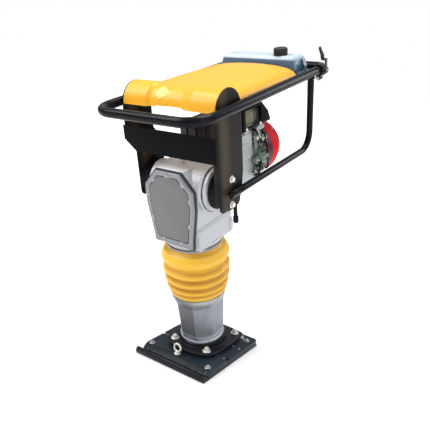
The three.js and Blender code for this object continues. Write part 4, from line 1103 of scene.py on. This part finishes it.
def bracket_plan(front, nose_r=60):
    """The plate's outline as (y, z): round nose, straight front, rounded foot and a cut-back rear edge."""
    y, z = NOSE
    plan = arc(y, z, nose_r, 0, 180, 40) + [(front + 0.4, z - 20), (front, z - 27)]
    plan += arc(front + 20, 620, 20, 180, 270, 10) + arc(5, 618, 18, 270, 340, 8)
    return plan + [(36, 651), (45, 700), (46.2, 760), (47, 850), (47, 888)]


def brackets():
    """The two side plates, the left one with a rolled front edge, the plate across them, and their bolts."""
    outer, thick = 174.5, 5
    web = prism(bracket_plan(-80), outer - thick, outer, "x")
    section = [(174.5, -70)] + arc(164.5, -70, 10, 0, -90, 8)[1:] + [(157, -80), (157, -76.2)]
    section += arc(164.5, -70.2, 6, -90, 0, 6)
    corner = carved(web, block(164, 180, -84, -70, 622, 868))
    joined = bpy.data.meshes.new("joined")
    work = bmesh.new()
    work.from_mesh(corner)
    work.from_mesh(mesh_from(prism(section, 624, 866, "z")))
    work.to_mesh(joined)
    work.free()
    build("side_plate_left", fused(joined, 1.25, 5), "plate_steel", "handle", ["bracket_left"], crease=180)

    build("side_plate_right", taken("bracket_right"), "plate_steel", "handle", ["bracket_right"], bevel=1.6,
          segments=4)
    build("front_plate", taken("cross_plate"), "black_steel", "handle", ["cross_plate"], bevel=1.6,
          segments=4)
    for side, sign, plate in PLATE_OUTER:
        for level, y, z in (("upper", -19, 692), ("lower", -24, 614)):
            base = sign * (plate + 0.3)
            shape = merge(revolve([(10.4, base), (11, base + sign * 0.5), (11, base + sign * 1.6),
                                   (10.2, base + sign * 2.1)], "x", (y, z), 36),
                          bolt_head(y, z, base + sign * 1.9, 8.5, sign * 6))
            build(f"plate_bolt_{level}_{side}", shape, "zinc", "handle", [f"bracket_bolt_{level}_{side}"])
    rod = [(3, 598), (6.2, 597), (6.2, 560), (8, 559), (8.6, 556), (8.6, 542), (7, 538), (2, 536)]
    build("stop_rod", revolve(rod, centre=(163, 10), steps=32), "black_rubber", "handle")


# ------------------------------------------------------------------ hood, tank and throttle

def hood():
    """One moulded sheet: a crowned back, and a rounded nose whose narrower waist has one flat facet."""
    left, right = -68, 0                    # where the facet starts and ends in x
    aim, spread_half = 133, 19              # the way it faces and half its spread round the nose, in degrees
    near, far = 52.9, 51.5                  # its distance from the nose's axis at both ends
    fall = far - near
    crown = [(0, 948), (40, 947.4), (80, 945), (110, 942), (130, 938.5), (146, 934), (158, 928), (166, 921),
             (170.5, 915), (172.5, 908)]

    def crown_at(x):
        x = abs(x)
        for (x0, z0), (x1, z1) in zip(crown, crown[1:]):
            if x <= x1:
                return z0 + (z1 - z0) * (x - x0) / (x1 - x0)
        return crown[-1][1]

    def nose_radius(x):
        """The left half bulges a little where the flat facet is cut; the right half widens evenly."""
        if x < 0:
            if x <= -84:
                return 60
            if x <= -68:
                return 52.9 + 7.1 * (0.5 - 0.5 * math.cos(math.pi * (-68 - x) / 16))
            share = (x + 68) / 68
            spread = math.radians(spread_half) * (1 - abs(2 * share - 1))
            return (near + fall * share) / math.cos(spread)
        if x <= 44:
            return 51.5 + x / 44
        return min(60, 52.5 + 7.5 * (x - 44) / 38)

    half = [*range(0, 56, 4), 58, 64, 70, 76, 80, 82, 84, 90, 98, 108, 118, 128, 136, 144, 151, 157, 162,
            166,
            169, 171.2, 172.5]
    columns = [-x for x in reversed(half[1:])] + half
    y0, z0 = NOSE
    angles = [180 - 3 * k for k in range(31)]
    rows_y = [y0 + d for d in (6, 13, 20, 27, 34, 41, 48, 55, 62, 72, 85, 100, 125, 160, 200, 250, 300, 340,
                               365, 380,
                               390, 395, 398)]
    points = []
    for angle in angles:
        a = math.radians(angle)
        for x in columns:
            r = nose_radius(x)
            px = math.copysign(min(abs(x), 169.2), x)
            low = 4 if abs(x) < 50 else 0
            lift = low * max(0.0, (angle - 160) / 20)
            points.append((px, y0 + r * math.cos(a), z0 + r * math.sin(a) + lift))
    for y in rows_y:
        for x in columns:
            r = nose_radius(x)
            dy = y - y0
            nose = z0 + math.sqrt(max(r * r - dy * dy, 0)) if dy < r else z0
            sheet = crown_at(x) - 3.0 * max(0.0, (y - 345) / 40) ** 2
            soft = 5.0
            top = soft * math.log(math.exp((nose - z0) / soft) + math.exp((sheet - z0) / soft)) + z0
            settle = min(1.0, dy / 70)
            top -= (1 - settle) * max(0.0, top - (nose if nose > sheet else sheet)) * 0.9
            spread = min(1.0, dy / 60)
            px = math.copysign(min(abs(x), 169.2 + 3.3 * spread), x)
            points.append((px, y, top))
    facet = Vector((0.0, math.cos(math.radians(aim)), math.sin(math.radians(aim))))
    for index, (px, py, pz) in enumerate(points):
        if left < px < right and py < y0 + 5:
            arm = Vector((0.0, py - y0, pz - z0))
            share = (px - left) / (right - left)
            over = arm.dot(facet) - (near + fall * share)
            if over > 0:
                arm -= facet * over
                points[index] = (px, y0 + arm.y, z0 + arm.z)
    width = len(columns)
    faces = []
    for j in range(len(angles) + len(rows_y) - 1):
        for i in range(width - 1):
            a = j * width + i
            faces.append((a, a + width, a + width + 1, a + 1))
    mesh = applied(mesh_from((points, faces)), ("SOLIDIFY", {"thickness": 4.0, "offset": -1.0}),
                   ("BEVEL", {"width": 0.9, "segments": 2, "limit_method": "ANGLE",
                              "angle_limit": math.radians(50)}))
    build("hood_shell", mesh, "yellow_plastic", "handle", ["hood"], crease=40)
    # A raised pad on the facet, in a lighter yellow: a painted highlight.
    middle, reach = (left + right) / 2, 31
    drop = near + fall / 2
    across = Vector((0, -facet.z, facet.y))
    slope = Vector((1, 0, 0)) + facet * (fall / (right - left))
    corners = [slope * -reach, across * 23, slope * reach, across * -23]
    seat = Vector((middle, y0, z0)) + facet * drop
    pad = [[seat + corner * size + facet * rise for corner in corners]
           for size, rise in ((1.0, -5.0), (1.0, 0.2), (0.93, 0.7))]
    build("hood_facet_highlight_pad", loft(pad), "facet_highlight_plastic", "handle")
    # A black sheet under the hood, painted shade: it keeps the hood's yellow underside from lighting the
    # case below.
    build("hood_shade_sheet", rounded_box(-128, 128, 62, 350, 929, 933, 12, "z"), "black_rubber", "handle",
          bevel=1)


def tank():
    """The moulded tank with its recess and a dark teal panel in it, its filler collar, ribbed cap and shelf.
    """
    cap_axis = (78, 446)
    recess = rounded_box(139, 162, 428, 482, 908, 950, 7, "x")
    body = fused(taken("fuel_tank"), 1.7, 8)
    body = carved(body, recess)
    body = applied(body, ("SMOOTH", {"factor": 0.5, "iterations": 2}))
    build("tank_shell", body, "tank_plastic", "handle", ["fuel_tank"], crease=40)
    # A dark teal panel in the recess: painted shade of the recess, with fuel seen through the wall.
    build("recess_shade_window", rounded_box(137.5, 140.2, 426.5, 483.5, 906.5, 951.5, 8, "x"), "recess_shade_window",
          "handle",
          bevel=0.4)
    collar = revolve([(20.4, 964.5), (24.5, 965), (24.5, 966.8), (22, 967.9), (20.4, 968)], centre=cap_axis,
                     steps=48, closed=True)
    build("filler_collar", collar, "black_plastic", "handle")

    def ribbed(a, r, z):
        return r * (1 + (0.035 * math.cos(30 * a) if 969 < z < 987 else 0))

    cap = [(16, 968.4), (22.6, 968.6), (23.2, 970), (23.2, 985), (22.4, 986.6), (20.6, 988.6), (17.5, 989.8),
           (14, 990.2), (12.5, 989.2), (3, 989)]
    build("cap_moulding", revolve(cap, centre=cap_axis, steps=240, shape=ribbed), "black_plastic", "cap",
          ["fuel_cap"], crease=50)
    build("tank_shelf", taken("tank_tray"), "black_steel", "handle", ["tank_tray"], bevel=0.8)


def throttle():
    """The clamp on the loop with its cable adjuster, and the lever with its hub nut."""
    h, y, z = LOOP_HALF, THROTTLE_Y, loop_z(THROTTLE_Y)
    ring = revolve([(15.4, y - 12), (19, y - 12), (20, y - 11), (20, y + 11), (19, y + 12), (15.4, y + 12)],
                   "y",
                   (h, z), 48, closed=True)
    ears = merge(rounded_box(h - 9, h + 9, y - 9, y + 9, z - 33, z - 18, 4, "y"),
                 rounded_box(h + 8, h + 19.6, y - 10, y + 10, z - 17, z + 12, 4, "x"))
    build("throttle_bracket", fused(merge(ring, ears), 1.0, 3), "black_plastic", "handle",
          ["throttle_clamp"], crease=180)
    adjuster = revolve([(4.4, z - 18), (4.4, z - 26), (6, z - 26.4), (6, z - 31), (3.4, z - 31.4),
                        (3.4, z - 38),
                        (2, z - 38.4)], centre=(h, y), steps=28)
    screw = revolve([(4.5, y - 9), (4.5, y - 13), (3.8, y - 13.8)], "y", (h, z - 27), 24)
    build("throttle_adjuster", merge(adjuster, screw), "zinc", "handle")
    hub = revolve([(9.8, 210.6), (11, 211.4), (11, 216.4), (9.8, 217.4), (5, 217.6)], "x", (y, z), 40)
    top = [(200, y + dy, z + dz) for dy, dz in ((-2, 38), (1, 46), (-10, 60), (-20, 74))]
    grip = sweep(smooth_curve(top, 6), lambda s: 5.0 + 1.4 * math.sin(math.pi * min(1.0, s + 0.25)), 16,
                 up=(1, 0, 0))
    build("throttle_arm", merge(taken("throttle_lever"), hub, grip), "black_plastic", "throttle",
          ["throttle_lever"], bevel=1.0, segments=3)
    build("throttle_hub_nut", bolt_head(y, z, 217, 5, 1.6), "zinc", "throttle")


def carried_over():
    """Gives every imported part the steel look; the ones that still show are inside the case."""
    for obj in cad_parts.values():
        if not obj.data.materials:
            obj.data.materials.append(LOOKS["steel"])
        for slot in obj.material_slots:
            slot.material = LOOKS["steel"]


camera()
floor()
studio()
LOOKS = {name: finish(name, **values) for name, values in FINISHES.items()}
shoe()
foot_casting()
lifting_eye()
leg()
springs()
bellows()
crankcase()
cover()
rubber_mounts()
engine()
exhaust()
air_filter()
fuel_system()
starter()
handle_tubes()
brackets()
hood()
tank()
throttle()
carried_over()
